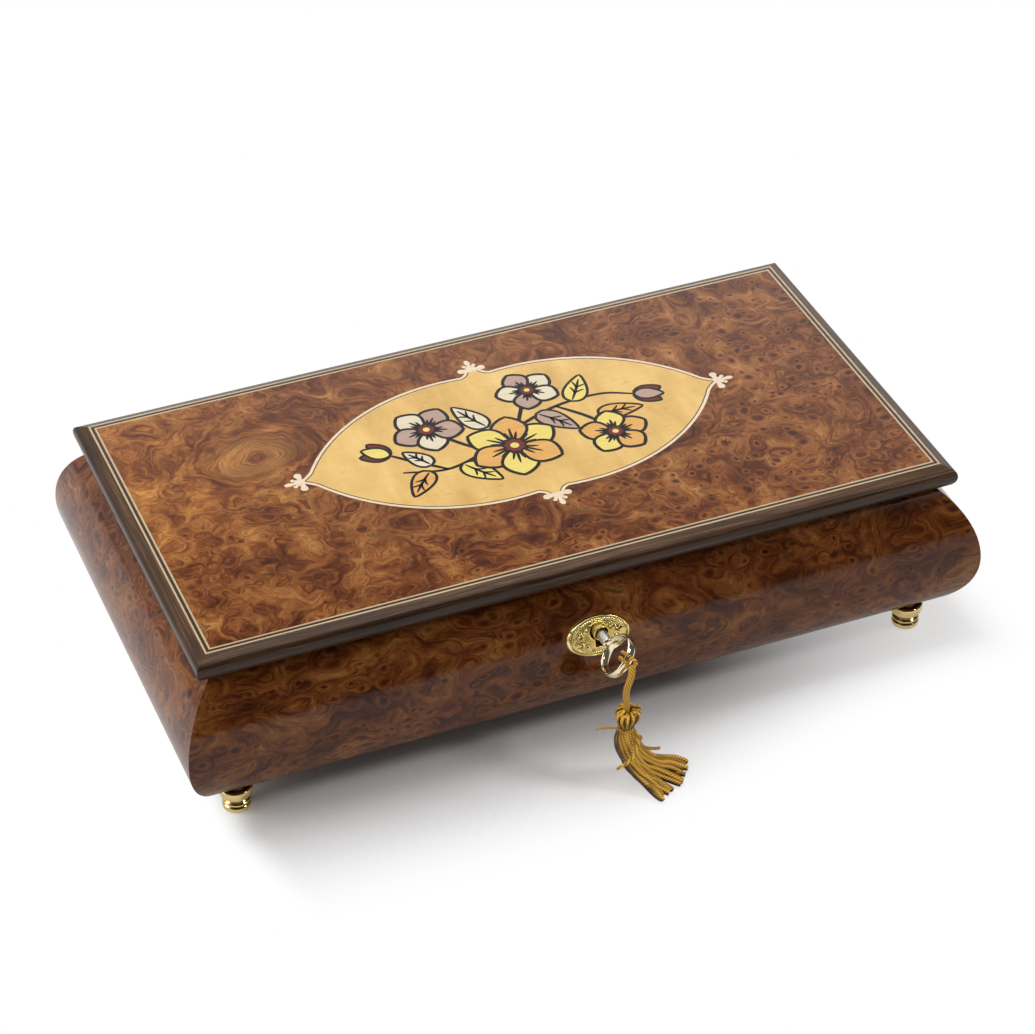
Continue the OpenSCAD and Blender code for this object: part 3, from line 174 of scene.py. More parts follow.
def grid_quads(rows, columns, wrap_rows, wrap_columns):
    """Faces of a grid: each joins a point with the next one along both parameters."""
    i = np.arange(rows if wrap_rows else rows - 1)
    j = np.arange(columns if wrap_columns else columns - 1)
    i, j = np.meshgrid(i, j, indexing="ij")
    k, m = (i + 1) % rows, (j + 1) % columns
    corners = [i * columns + j, k * columns + j, k * columns + m, i * columns + m]
    return np.stack(corners, axis=-1).reshape(-1, 4)


def sheet(points, wrap_rows=False, wrap_columns=False, caps=False, painted_shading=None, tint=0.0):
    """One grid of points in millimetres with how it closes, a value of painted light and shade for each
    point and one tint.
    """
    return dict(points=points, wrap=(wrap_rows, wrap_columns), caps=caps, painted_shading=painted_shading, tint=tint)


def strand(points, painted_shading, tint):
    """The grid of a strand or a bar with two closed ends."""
    return sheet(points, wrap_columns=True, caps=True, painted_shading=painted_shading, tint=tint)


def loop(points, painted_shading=None, tint=0.0):
    """The grid of a strand or a band that closes on itself."""
    return sheet(points, wrap_rows=True, wrap_columns=True, painted_shading=painted_shading, tint=tint)


def add_piece(name, sheets, material, body, smooth=True):
    """One mesh from several grids. A capped grid, which wraps round its columns, has a face over its
    first and its last row. The painted shading and tints become the attributes 'height' and 'tint'."""
    points, faces, painted_shadings, tints, start = [], [], [], [], 0
    for part in sheets:
        grid = part["points"]
        rows, columns = grid.shape[:2]
        faces += (grid_quads(rows, columns, *part["wrap"]) + start).tolist()
        if part["caps"]:
            ring = np.arange(columns)
            faces.append((ring + start).tolist())
            faces.append((ring[::-1] + start + (rows - 1) * columns).tolist())
        points.append(grid.reshape(-1, 3))
        flat = np.zeros(rows * columns) if part["painted_shading"] is None else part["painted_shading"].reshape(-1)
        painted_shadings.append(flat)
        tints.append(np.full(rows * columns, part["tint"]))
        start += rows * columns
    mesh = bpy.data.meshes.new(name)
    mesh.from_pydata((np.concatenate(points) * MM).tolist(), [], faces)
    for label, values in (("height", painted_shadings), ("tint", tints)):
        layer = mesh.attributes.new(label, "FLOAT", "POINT")
        layer.data.foreach_set("value", np.concatenate(values).astype(np.float32))
    mesh.polygons.foreach_set("use_smooth", np.full(len(mesh.polygons), smooth))
    mesh.materials.append(material)
    mesh.update()
    piece = bpy.data.objects.new(name, mesh)
    bpy.context.scene.collection.objects.link(piece)
    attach(piece, body)
    return piece


def thicken(piece, thickness):
    """Gives a flat inlay its thickness, downwards into the wood."""
    made = piece.modifiers.new("thickness", "SOLIDIFY")
    made.thickness = thickness * MM
    made.offset = -1.0


# Shader helpers

def source(tree, kind, **settings):
    """Adds one shader node to a tree."""
    made = tree.nodes.new(kind)
    for name, value in settings.items():
        setattr(made, name, value)
    return made


def is_socket(value):
    return isinstance(value, bpy.types.NodeSocket)


def add(kind, inputs, **settings):
    """Adds one shader node to the tree of its first input that is a socket. Sockets are linked, other
    values are set."""
    tree = next(value.id_data for value in inputs.values() if is_socket(value))
    made = source(tree, kind, **settings)
    for name, value in inputs.items():
        plug(made.inputs[name], value)
    return made


def plug(socket, value):
    """Links a socket or sets a value."""
    if is_socket(value):
        socket.id_data.links.new(value, socket)
    else:
        socket.default_value = value


def four(colour):
    """A colour with its alpha; a socket stays as it is."""
    return colour if is_socket(colour) else (*colour, 1.0)


def calc(operation, a, b=0.0, c=0.0, clamp=False):
    return add("ShaderNodeMath", {0: a, 1: b, 2: c}, operation=operation, use_clamp=clamp).outputs[0]


def times(first, *others):
    """The product of values."""
    for other in others:
        first = calc("MULTIPLY", first, other)
    return first


def plus(a, b):
    return calc("ADD", a, b)


def minus(a, b):
    return calc("SUBTRACT", a, b)


def times_plus(a, b, c):
    """a * b + c."""
    return calc("MULTIPLY_ADD", a, b, c)


def arrow(operation, a, b=(0.0, 0.0, 0.0)):
    return add("ShaderNodeVectorMath", {0: a, 1: b}, operation=operation).outputs[0]


def stretch(vector, factors):
    return arrow("MULTIPLY", vector, factors)


def pushed(place, way, reach):
    """A flat place moved along an arrow, by its reach in millimetres."""
    return arrow("ADD", place, stretch(way, (reach, reach, 0.0)))


def length_of(vector):
    return add("ShaderNodeVectorMath", {0: vector}, operation="LENGTH").outputs["Value"]


def span(value, low, high, to_low=0.0, to_high=1.0):
    """Smooth step from low to high."""
    return add("ShaderNodeMapRange", {
        "Value": value, "From Min": low, "From Max": high, "To Min": to_low, "To Max": to_high},
        interpolation_type="SMOOTHSTEP").outputs["Result"]


def noise_node(vector, scale, detail=2.0, roughness=0.5):
    return add("ShaderNodeTexNoise", {
        "Vector": vector, "Scale": scale, "Detail": detail, "Roughness": roughness}).outputs


def noise(*settings):
    """Soft noise as a value round 0.5."""
    return noise_node(*settings)[0]


def drift(*settings):
    """Soft noise as an arrow round nought."""
    return arrow("SUBTRACT", noise_node(*settings)["Color"], (0.5, 0.5, 0.5))


def cells(place, scale, feature, **soft):
    """Cells on a flat sheet."""
    return add("ShaderNodeTexVoronoi", {"Vector": place, "Scale": scale, **soft},
               voronoi_dimensions="2D", feature=feature).outputs


def blend(factor, a, b, kind="MIX"):
    """Mixes or multiplies two colours."""
    return add("ShaderNodeMix", {0: factor, 6: four(a), 7: four(b)},
               data_type="RGBA", blend_type=kind).outputs[2]


def colours(value, stops):
    """Colour by value, through stops of (value, colour)."""
    made = add("ShaderNodeValToRGB", {"Fac": value})
    band = made.color_ramp
    while len(band.elements) < len(stops):
        band.elements.new(0.5)
    for element, (place, colour) in zip(band.elements, stops):
        element.position = place
        element.color = (*colour, 1.0)
    return made.outputs["Color"]


def attribute(tree, name):
    return source(tree, "ShaderNodeAttribute", attribute_name=name).outputs["Fac"]


def millimetres(tree):
    """The piece's own coordinates in millimetres."""
    return stretch(source(tree, "ShaderNodeTexCoord").outputs["Object"], (1000.0, 1000.0, 1000.0))


def split(vector):
    return tuple(add("ShaderNodeSeparateXYZ", {0: vector}).outputs)


def join(x, y, z):
    return add("ShaderNodeCombineXYZ", {0: x, 1: y, 2: z}).outputs[0]


def bump(height, strength, distance):
    return add("ShaderNodeBump", {
        "Height": height, "Strength": strength, "Distance": distance}).outputs["Normal"]


def new_material(name):
    """An empty material with its surface shader; gives the material, its tree and the shader."""
    made = bpy.data.materials.new(name)
    made.use_nodes = True
    tree = made.node_tree
    return made, tree, tree.nodes["Principled BSDF"]


def finish_shader(shader, **inputs):
    """Links or sets inputs of a surface shader, by their names with a bar for each space."""
    for name, value in inputs.items():
        socket = shader.inputs[name.replace("_", " ")]
        plug(socket, four(value) if socket.type == "RGBA" else value)


def new_group(name, arrows, numbers, results):
    """A shader node group that takes arrows and numbers and gives numbers. Gives the group, what
    comes into it and where its results go."""
    group = bpy.data.node_groups.new(name, "ShaderNodeTree")
    for labels, way, kind in (
            (arrows, "INPUT", "NodeSocketVector"), (numbers, "INPUT", "NodeSocketFloat"),
            (results, "OUTPUT", "NodeSocketFloat")):
        for label in labels:
            group.interface.new_socket(name=label, in_out=way, socket_type=kind)
    ways_in = group.nodes.new("NodeGroupInput").outputs
    ways_out = group.nodes.new("NodeGroupOutput").inputs
    return group, ways_in, ways_out


def give(group, ways_out, **values):
    """Links the group's results."""
    for name, value in values.items():
        group.links.new(value, ways_out[name])
    return group


def use_group(group, **inputs):
    return add("ShaderNodeGroup", inputs, node_tree=group).outputs


def make_burl_group():
    """Burl figure on a flat sheet in millimetres. A slow noise drifts the sheet. The growth lines are
    the level lines of a height, one unit to a line, that rises with the distance to the middles of
    wide cells, less so to those of small cells, and changes to the given rings by the swirl. A noise
    of that height and of the slow place gives lines of uneven width and strength. Small cells hold
    the eyes. Gives the tone, the smoky lines, the eyes and the pale rings round them."""
    g, i, o = new_group("burl_figure", ["Sheet"], ["Swirl", "Rings", "Eyes"],
                        ["Tone", "Smoke", "Eye", "Halo"])
    wide_cells, small_cells = 0.050, 0.165
    slow_drift = drift(i["Sheet"], 0.032, 1.5)
    moved = pushed(i["Sheet"], slow_drift, 24.0)
    ruffle = drift(moved, 0.17, 2.0)
    rippled = pushed(moved, ruffle, 4.2)
    eased = pushed(pushed(i["Sheet"], slow_drift, 11.0), ruffle, 2.4)
    whorl = cells(rippled, wide_cells, "SMOOTH_F1", Smoothness=0.45)["Distance"]
    knot = cells(eased, small_cells, "SMOOTH_F1", Smoothness=0.25)["Distance"]
    cell = cells(eased, small_cells, "F1")
    lot = split(cell["Color"])
    crowd = noise(i["Sheet"], 0.030, 1.0)
    calm = minus(1.0, calc("MULTIPLY", i["Swirl"], 1.6, clamp=True))
    there = span(plus(crowd, times(lot[0], 0.30)), 0.58, 0.72)
    there = times(there, calm, i["Eyes"])
    apart = calc("DIVIDE", cell["Distance"], small_cells)
    near = calc("DIVIDE", apart, times_plus(times(lot[1], lot[1]), 0.95, 0.62))
    eye = times(span(near, 1.55, 0.30), there)
    beside = calc("ABSOLUTE", minus(near, 1.8))
    halo = times(calc("SUBTRACT", 1.0, times(beside, 1.5), clamp=True), there)
    lively = span(crowd, 0.36, 0.58, 1.0, 4.2)
    height = times_plus(whorl, 9.0, times(noise(moved, 0.040, 1.0), 9.0))
    height = times_plus(knot, lively, height)
    height = times_plus(minus(i["Rings"], height), i["Swirl"], height)
    slow = split(stretch(moved, (0.05, 0.05, 0.0)))
    wide = noise(join(times(height, 0.42), slow[0], slow[1]), 1.0, 2.0)
    fine = noise(join(times(height, 1.5), times(slow[0], 2.0), times(slow[1], 2.0)), 1.0, 3.0, 0.6)
    patch = noise(moved, 0.055, 3.0, 0.55)
    fuzz = noise(rippled, 0.45, 3.0, 0.6)
    grain = noise(rippled, 1.7, 3.0, 0.7)
    tone = 0.5
    for value, share in ((patch, 0.85), (wide, 1.00), (fine, 1.25), (fuzz, 0.34), (grain, 0.24)):
        tone = times_plus(minus(value, 0.5), share, tone)
    smoke = times(span(fine, 0.52, 0.68), span(wide, 0.40, 0.62))
    return give(g, o, Tone=tone, Smoke=smoke, Eye=eye, Halo=halo)


def make_wear_group():
    """Fine wear of handled metal: slow clouds of tarnish and short fine scratches from a noise that is
    stretched one way. Gives both as values round 0.5."""
    g, i, o = new_group("metal_wear", ["Place"], [], ["Tarnish", "Scratch"])
    return give(g, o, Tarnish=noise(i["Place"], 0.35, 3.0, 0.6),
                Scratch=noise(stretch(i["Place"], (0.6, 3.0, 6.0)), 1.3, 3.0, 0.7))


def make_grain_group():
    """Straight wood grain along the first axis: noise drawn out along it, in wide bands and fine
    fibres, and short dark pores."""
    g, i, o = new_group("straight_grain", ["Place"], [], ["Band", "Fibre", "Pore"])
    waver = stretch(drift(i["Place"], 0.02, 1.0), (0.0, 3.0, 3.0))
    place = arrow("ADD", i["Place"], waver)
    pores = noise(stretch(place, (0.22, 5.0, 5.0)), 1.0, 1.0, 0.5)
    return give(g, o, Band=noise(stretch(place, (0.012, 0.5, 0.5)), 1.0, 3.0, 0.55),
                Fibre=noise(stretch(place, (0.03, 2.2, 2.2)), 1.0, 3.0, 0.65),
                Pore=span(pores, 0.62, 0.7))


BURL = make_burl_group()
WEAR = make_wear_group()
GRAIN = make_grain_group()


# Wood finishes

def burl_colour(figure):
    """Colour of the burl from its tone, with smoky lines, pale rings and dark red eyes."""
    base = colours(figure["Tone"], [
        (0.12, (0.054, 0.013, 0.0045)), (0.36, (0.124, 0.033, 0.0085)), (0.50, (0.192, 0.058, 0.015)),
        (0.66, (0.302, 0.108, 0.028)), (0.90, (0.520, 0.238, 0.070))])
    smoked = blend(times(figure["Smoke"], 0.78), base, (0.058, 0.022, 0.009))
    ringed = blend(times(figure["Halo"], 0.42), smoked, (0.360, 0.132, 0.034))
    return blend(times(figure["Eye"], 0.86), ringed, (0.050, 0.010, 0.005))


def lacquer(shader, colour, coat=1.0, gloss=0.025):
    """Clear polished lacquer over a wood colour."""
    finish_shader(shader, Base_Color=colour, Roughness=0.32, Specular_IOR_Level=0.0,
                  Coat_Weight=coat, Coat_Roughness=gloss, Coat_IOR=1.5)


def grain_along(place, along):
    """Straight grain along the first or the second axis."""
    x, y, z = split(place)
    return use_group(GRAIN, Place=place if along == 0 else join(y, x, z))


def plain_wood(grain, dark, light):
    """Colour of plain wood between two shades by its fibres."""
    return colours(grain["Fibre"], [(0.3, dark), (0.7, light)])


def lid_burl():
    """Burl of the lid with one large swirl of rings, painted light from the left window over its left
    end, and the dark strip between the stringing lines. The underside is plain wood."""
    made, tree, shader = new_material("lid_burl")
    place = millimetres(tree)
    flat = stretch(place, (1.0, 1.0, 0.0))
    x, y, z = split(place)
    bent = pushed(flat, drift(flat, 0.085, 2.0), 12.0)
    away = stretch(arrow("SUBTRACT", bent, SWIRL_MIDDLE), (0.88, 1.1, 1.0))
    reach = length_of(away)
    swirl = span(reach, 42.0, 13.0)
    many = span(minus(x, y), -40.0, 60.0, 0.30, 1.0)
    figure = use_group(BURL, Sheet=flat, Swirl=swirl, Rings=times(reach, 0.62), Eyes=many)
    warm = times(span(reach, 19.0, 8.0), span(reach, 2.0, 4.5), 0.40)
    colour = blend(warm, burl_colour(figure), (0.420, 0.190, 0.062))
    turns = span(calc("COSINE", times(reach, 3.5)), 0.2, 1.0)
    broken = span(noise(flat, 0.14), 0.3, 0.7)
    colour = blend(times(turns, broken, swirl, 0.62), colour, (0.085, 0.030, 0.012))
    # Painted light: the left end of the lid is lightened and warmed, standing in for the window at the
    # left.
    left = times(span(x, -60.0, -120.0), span(y, -45.0, 5.0))
    colour = blend(left, colour, (1.48, 1.58, 1.36), "MULTIPLY")
    edges = [calc("GREATER_THAN", calc("ABSOLUTE", value), half - STRIP_WIDE)
             for value, half in zip((x, y), PANEL_HALF)]
    colour = blend(calc("MAXIMUM", *edges), colour, (0.066, 0.039, 0.022))
    veneer_deep = 1.5
    under = calc("LESS_THAN", z, LID_TOP - veneer_deep)
    plain = plain_wood(grain_along(place, 0), (0.090, 0.040, 0.020), (0.190, 0.090, 0.043))
    lacquer(shader, blend(under, colour, plain))
    return made


def wall_burl(name, along, outward, shift, shade=(0.82, 0.73, 0.62), coat=0.85):
    """Burl of a swelling wall. The sheet is unrolled: one way is along the wall, where the figure is
    drawn out, and the other is the length of arc r * asin(height / r) above or below the belly, where
    it is a little closer. The rim and the inside are plain wood."""
    made, tree, shader = new_material(name)
    place = millimetres(tree)
    axes = split(place)
    rise = minus(axes[2], BELLY_Z)
    above, below = [times(calc("ARCSINE", calc("DIVIDE", rise, r)), r) for r in (UPPER_R, LOWER_R)]
    high = calc("GREATER_THAN", rise, 0.0)
    arc = plus(times(above, high), times(below, minus(1.0, high)))
    drawn_out, closer = 0.74, 1.10
    flat = join(times_plus(axes[along], drawn_out, shift), times(arc, closer), 0.0)
    figure = use_group(BURL, Sheet=flat, Swirl=0.0, Rings=0.0, Eyes=0.9)
    across = 1 - along
    inside = calc("LESS_THAN", times(axes[across], outward), WALL_INSIDE[across] + 0.3)
    rim = calc("GREATER_THAN", axes[2], WALL_RIM_Z)
    plain = plain_wood(grain_along(place, along), (0.055, 0.022, 0.012), (0.120, 0.052, 0.026))
    veneer = blend(1.0, burl_colour(figure), shade, "MULTIPLY")
    lacquer(shader, blend(calc("MAXIMUM", inside, rim), veneer, plain), coat, gloss=0.12)
    return made


def moulding(name, along):
    """Dark open-grained moulding with streaks along its length and a satin polish, with painted light
    on its flat top and painted shade on the hollow and the sides below."""
    made, tree, shader = new_material(name)
    place = millimetres(tree)
    grain = grain_along(place, along)
    mixed = times_plus(grain["Fibre"], 0.6, times(grain["Band"], 0.4))
    base = colours(mixed, [
        (0.34, (0.016, 0.006, 0.0015)), (0.50, (0.058, 0.024, 0.008)), (0.68, (0.170, 0.080, 0.030))])
    colour = blend(times(grain["Pore"], 0.6), base, (0.008, 0.004, 0.002))
    # Painted light and shade by height: the flat top is lightened, and the hollow and the sides below
    # are darkened.
    painted_top_light_and_shade = span(split(place)[2], LID_TOP - 1.9, LID_TOP - 0.8, 0.62, 1.20)
    colour = blend(1.0, colour, join(painted_top_light_and_shade, painted_top_light_and_shade, painted_top_light_and_shade), "MULTIPLY")
    rough = times_plus(grain["Fibre"], 0.16, 0.26)
    finish_shader(shader, Base_Color=colour, Roughness=rough, Specular_IOR_Level=0.20,
                  Coat_Weight=0.20, Coat_Roughness=0.12,
                  Normal=bump(grain["Fibre"], 0.10, 0.0002))
    return made


def inlay_wood(name, dark, light, band=0.55, coat=1.0):
    """Plain inlay veneer: bands and fibres of a straight grain between two shades, lacquered."""
    made, tree, shader = new_material(name)
    grain = use_group(GRAIN, Place=millimetres(tree))
    mixed = times_plus(grain["Band"], band, times(grain["Fibre"], 1 - band))
    lacquer(shader, colours(mixed, [(0.32, dark), (0.68, light)]), coat)
    return made


def field_wood():
    """Pale honey maple of the cartouche: soft bands across, a faint curl and a few darker flecks."""
    made, tree, shader = new_material("field_maple")
    place = millimetres(tree)
    grain = use_group(GRAIN, Place=place)
    curl = noise(stretch(place, (0.10, 0.035, 0.1)), 1.0, 3.0, 0.6)
    mixed = times_plus(curl, 0.75, times(grain["Fibre"], 0.25))
    base = colours(mixed, [
        (0.30, (0.650, 0.390, 0.121)), (0.55, (0.810, 0.527, 0.179)), (0.75, (0.900, 0.640, 0.248))])
    fleck = span(noise(stretch(place, (0.12, 0.5, 1.0)), 1.0, 1.0), 0.70, 0.76)
    lacquer(shader, blend(times(fleck, 0.3), base, (0.36, 0.19, 0.055)))
    return made


# Metals, thread and the rest

def metal(name, colour, dull, roughness):
    """Polished metal with clouds of tarnish and fine scratches."""
    made, tree, shader = new_material(name)
    wear = use_group(WEAR, Place=millimetres(tree))
    shade = blend(span(wear["Tarnish"], 0.45, 0.75, 0.0, 0.55), colour, dull)
    rough = times_plus(minus(wear["Scratch"], 0.5), 0.12, roughness)
    finish_shader(shader, Base_Color=shade, Roughness=rough, Metallic=1.0,
                  Normal=bump(wear["Scratch"], 0.02, 0.0002))
    return made


def relief_gilt():
    """Gilt of the pressed plate with painted light on the raised work and painted shade in its hollows,
    by the height attribute."""
    made, tree, shader = new_material("relief_gilt")
    wear = use_group(WEAR, Place=millimetres(tree))
    height = attribute(tree, "height")
    shade = colours(height, [
        (0.25, (0.330, 0.210, 0.040)), (0.5, (0.880, 0.670, 0.220)), (0.8, (1.000, 0.860, 0.420))])
    rough = times_plus(wear["Tarnish"], 0.18, 0.08)
    finish_shader(shader, Base_Color=shade, Roughness=rough, Metallic=1.0)
    return made


def key_metal():
    """The key: a gilt drum by the tint attribute, a grooved nickel shank, and a pale polished bow by
    its place along the key."""
    made, tree, shader = new_material("key_metal")
    place = millimetres(tree)
    y = split(place)[1]
    wear = use_group(WEAR, Place=place)
    drum = attribute(tree, "tint")
    nickel = blend(span(wear["Scratch"], 0.35, 0.65), (0.760, 0.740, 0.700), (0.930, 0.920, 0.890))
    shank_end, bow_start = -88.0, -88.6
    bow = span(y, shank_end, bow_start)
    shade = blend(bow, nickel, (0.960, 0.840, 0.600))
    shade = blend(drum, shade, (0.900, 0.690, 0.240))
    shade = blend(span(wear["Tarnish"], 0.5, 0.8, 0.0, 0.25), shade, (0.620, 0.460, 0.200))
    rough = times_plus(wear["Scratch"], 0.08, span(bow, 0.0, 1.0, 0.26, 0.10))
    groove = times(calc("SINE", times(y, 6.5)), minus(1.0, bow))
    finish_shader(shader, Base_Color=shade, Roughness=rough, Metallic=1.0,
                  Normal=bump(groove, 0.35, 0.0002))
    return made


def silk(name, dark, light):
    """Twisted silk: painted shade between the plies and painted light on them by the height attribute,
    a shade of its own for each strand by the tint attribute, and fine filaments in the colour and as
    bump."""
    made, tree, shader = new_material(name)
    place = millimetres(tree)
    ply = attribute(tree, "height")
    tint = attribute(tree, "tint")
    fibre = noise(place, 5.0, 3.0, 0.7)
    # Painted light and shade: the height attribute darkens the colour between plies and in gaps, and
    # lightens it on the plies.
    shade = times(ply, times_plus(tint, 0.40, 0.66))
    shade = times_plus(minus(fibre, 0.5), 0.7, shade)
    middle = tuple((a + b) / 2 for a, b in zip(dark, light))
    colour = colours(shade, [(0.12, dark), (0.54, middle), (0.86, light)])
    finish_shader(shader, Base_Color=colour, Roughness=0.45, Specular_IOR_Level=0.5,
                  Sheen_Weight=0.06, Sheen_Roughness=0.4, Sheen_Tint=(0.95, 0.70, 0.25),
                  Normal=bump(fibre, 0.4, 0.0003))
    return made


def velvet(name, dark, light):
    """Cut pile: slow patches where the pile leans another way, fine speckle and a soft sheen."""
    made, tree, shader = new_material(name)
    place = millimetres(tree)
    lean = noise(place, 0.06, 3.0, 0.6)
    pile = noise(place, 3.2, 2.0, 0.7)
    mixed = times_plus(lean, 0.65, times(pile, 0.35))
    finish_shader(shader, Base_Color=colours(mixed, [(0.35, dark), (0.65, light)]),
                  Roughness=0.9, Specular_IOR_Level=0.15, Sheen_Weight=0.7, Sheen_Roughness=0.35,
                  Sheen_Tint=(0.85, 0.35, 0.35), Normal=bump(pile, 0.35, 0.0004))
    return made


def clear_sheet():
    """Clear acrylic of the movement's cover with a few fine scratches."""
    made, tree, shader = new_material("clear_acrylic")
    wear = use_group(WEAR, Place=millimetres(tree))
    rough = times(span(wear["Scratch"], 0.62, 0.75), 0.12)
    finish_shader(shader, Base_Color=(0.97, 0.98, 0.98), Roughness=rough, IOR=1.49,
                  Transmission_Weight=1.0)
    return made


SILK = silk("old_gold_silk", (0.035, 0.010, 0.001), (1.000, 0.530, 0.045))
SILK_BRIGHT = silk("bright_gold_silk", (0.120, 0.044, 0.002), (0.860, 0.460, 0.028))


# Cord and tassel

CORD_ROUTE = np.array([
    [2.30, -105.40, 49.32], [1.96, -106.20, 48.36], [1.48, -106.90, 47.34], [0.93, -107.50, 46.27],
    [0.28, -107.90, 45.19], [-0.70, -108.30, 43.23], [-1.14, -108.50, 40.84], [-1.12, -108.60, 38.22],
    [-1.03, -108.60, 36.17], [-1.00, -108.60, 31.00], [-1.05, -108.60, 28.00], [-1.00, -108.70, 25.00],
    [-0.60, -109.10, 22.00], [0.40, -109.80, 19.00], [2.00, -110.60, 16.20]])


def make_cord():
    """The tassel's cord: six fine plies twisted together along the route from the hitch into the
    skirt."""
    line = line_through(CORD_ROUTE, 240)
    points, ply = twisted_strand(line, radius=1.22, pitch=7.0, reference=np.array([1.0, 0.0, 0.0]),
                                 around=32, plies=6, depth=0.10)
    cord = add_piece("tassel_cord_twist", [strand(points, ply, tint=0.5)], SILK_BRIGHT, "tassel")
    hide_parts("tassel_cord")
    return cord, line


def make_hitch():
    """Two thin loops round the bow's band side by side, each a flattened ring that leans, and the
    bight that runs from the upper one round to the cord's top, with the lower one's end beside it."""
    along = -np.sin(HITCH_TURN) * BOW_FRONT + np.cos(HITCH_TURN) * BOW_RISE
    a = whole_turn(72)
    flat_cos, flat_sin = flattened(np.cos(a), 0.7), flattened(np.sin(a), 0.7)
    parts = []
    for side, lean in ((-1.25, -0.95), (1.35, -0.35)):
        line = (HITCH_SPOT + side * along + (2.55 * flat_cos - 0.60)[:, None] * BOW_AXIS
                + 1.16 * flat_sin[:, None] * HITCH_OUT + lean * np.cos(a)[:, None] * along)
        points, ply = ring_strand(line, along, radius=0.56, turns=11)
        parts.append(loop(points, ply, tint=0.6))
    bight = [[2.35, -103.6, 51.6], [3.00, -104.7, 52.0], [3.45, -105.3, 51.5], [3.60, -105.6, 50.7],
             [3.10, -105.7, 49.9], [2.45, -105.5, 49.4], [1.60, -104.9, 49.0]]
    tail = [[0.95, -103.6, 48.9], [1.30, -104.6, 48.7], [1.95, -105.4, 48.9], [2.20, -105.8, 48.6]]
    for stops, r, tint in ((bight, 0.72, 0.8), (tail, 0.60, 0.5)):
        points, ply = twisted_strand(line_through(stops, 60), r, pitch=2.0, reference=BOW_AXIS + 0.2,
                                     around=14, depth=0.2)
        parts.append(strand(points, ply, tint))
    hitch = add_piece("hitch_loops", parts, SILK_BRIGHT, "key")
    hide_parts("cord_hitch")


def open_side(points, line, outside):
    """How far each point of a strand faces in or out, from nought on its sides to one."""
    return np.abs(np.sum(unit(points - line[:, None, :]) * unit(outside)[:, None, :], axis=-1))


def make_tassel_head():
    """The head: strands that rise from the tie, spread, fold over at the top and turn in beside the
    cord. Each is the same outline (radius, height) turned about the head's line, a little varied;
    the folds get painted light, and the gaps between strands get painted shade."""
    chance = np.random.default_rng(5)
    outline = np.array([[1.85, -0.4], [2.15, 0.9], [2.75, 2.4], [3.45, 4.0], [3.95, 5.4], [3.85, 6.6],
                        [3.05, 7.2], [2.2, 6.8], [1.75, 5.6]])
    steps = 64
    girth = np.interp(np.linspace(0, 1, steps), [0, 0.25, 1], [0.7, 1.0, 1.0])
    inside = np.array([0.0, 0.0, 3.5])
    parts = []
    for layer, count, width, top in ((0, 13, 1.0, 1.0), (1, 10, 0.70, 1.06)):
        for k in range(count):
            turn = 2 * np.pi * (k + 0.5 * layer) / count + chance.uniform(-0.12, 0.12)
            grow = width + chance.uniform(-0.09, 0.09)
            tall = top + chance.uniform(-0.12, 0.10) + 0.06 * np.cos(turn - 0.2)
            r, h = outline[:, 0] * grow, outline[:, 1] * tall
            swing = turn + 0.06 * np.sin(h / 2.4 + k)
            middle = HEAD_FOOT + (HEAD_TOP - HEAD_FOOT) * (h / HEAD_TALL)[:, None]
            middle[:, 2] = HEAD_FOOT[2] + h
            stops = middle + np.stack([r * np.cos(swing), r * np.sin(swing), 0 * r], axis=1)
            line = line_through(stops, steps)
            points, ply = twisted_strand(
                line, radius=0.70, pitch=1.8, reference=np.array([-np.sin(turn), np.cos(turn), 0.0]),
                around=10, depth=0.16, girth=girth, phase=chance.uniform(0, 6))
            # Painted light and shade: lighter towards the top folds, darker where a strand turns into
            # the gaps.
            lit = np.clip((points[..., 2] - HEAD_FOOT[2]) / 7.0, 0, 1) ** 2
            crown = open_side(points, line, line - HEAD_FOOT - inside)
            painted_shading = (0.45 + 0.55 * ply) * (0.50 + 0.75 * lit) * (0.12 + 0.88 * crown)
            parts.append(strand(points, painted_shading, chance.uniform(0.2, 1)))
    head = add_piece("tassel_head_strands", parts, SILK, "tassel")
    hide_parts("tassel_head")
    return head


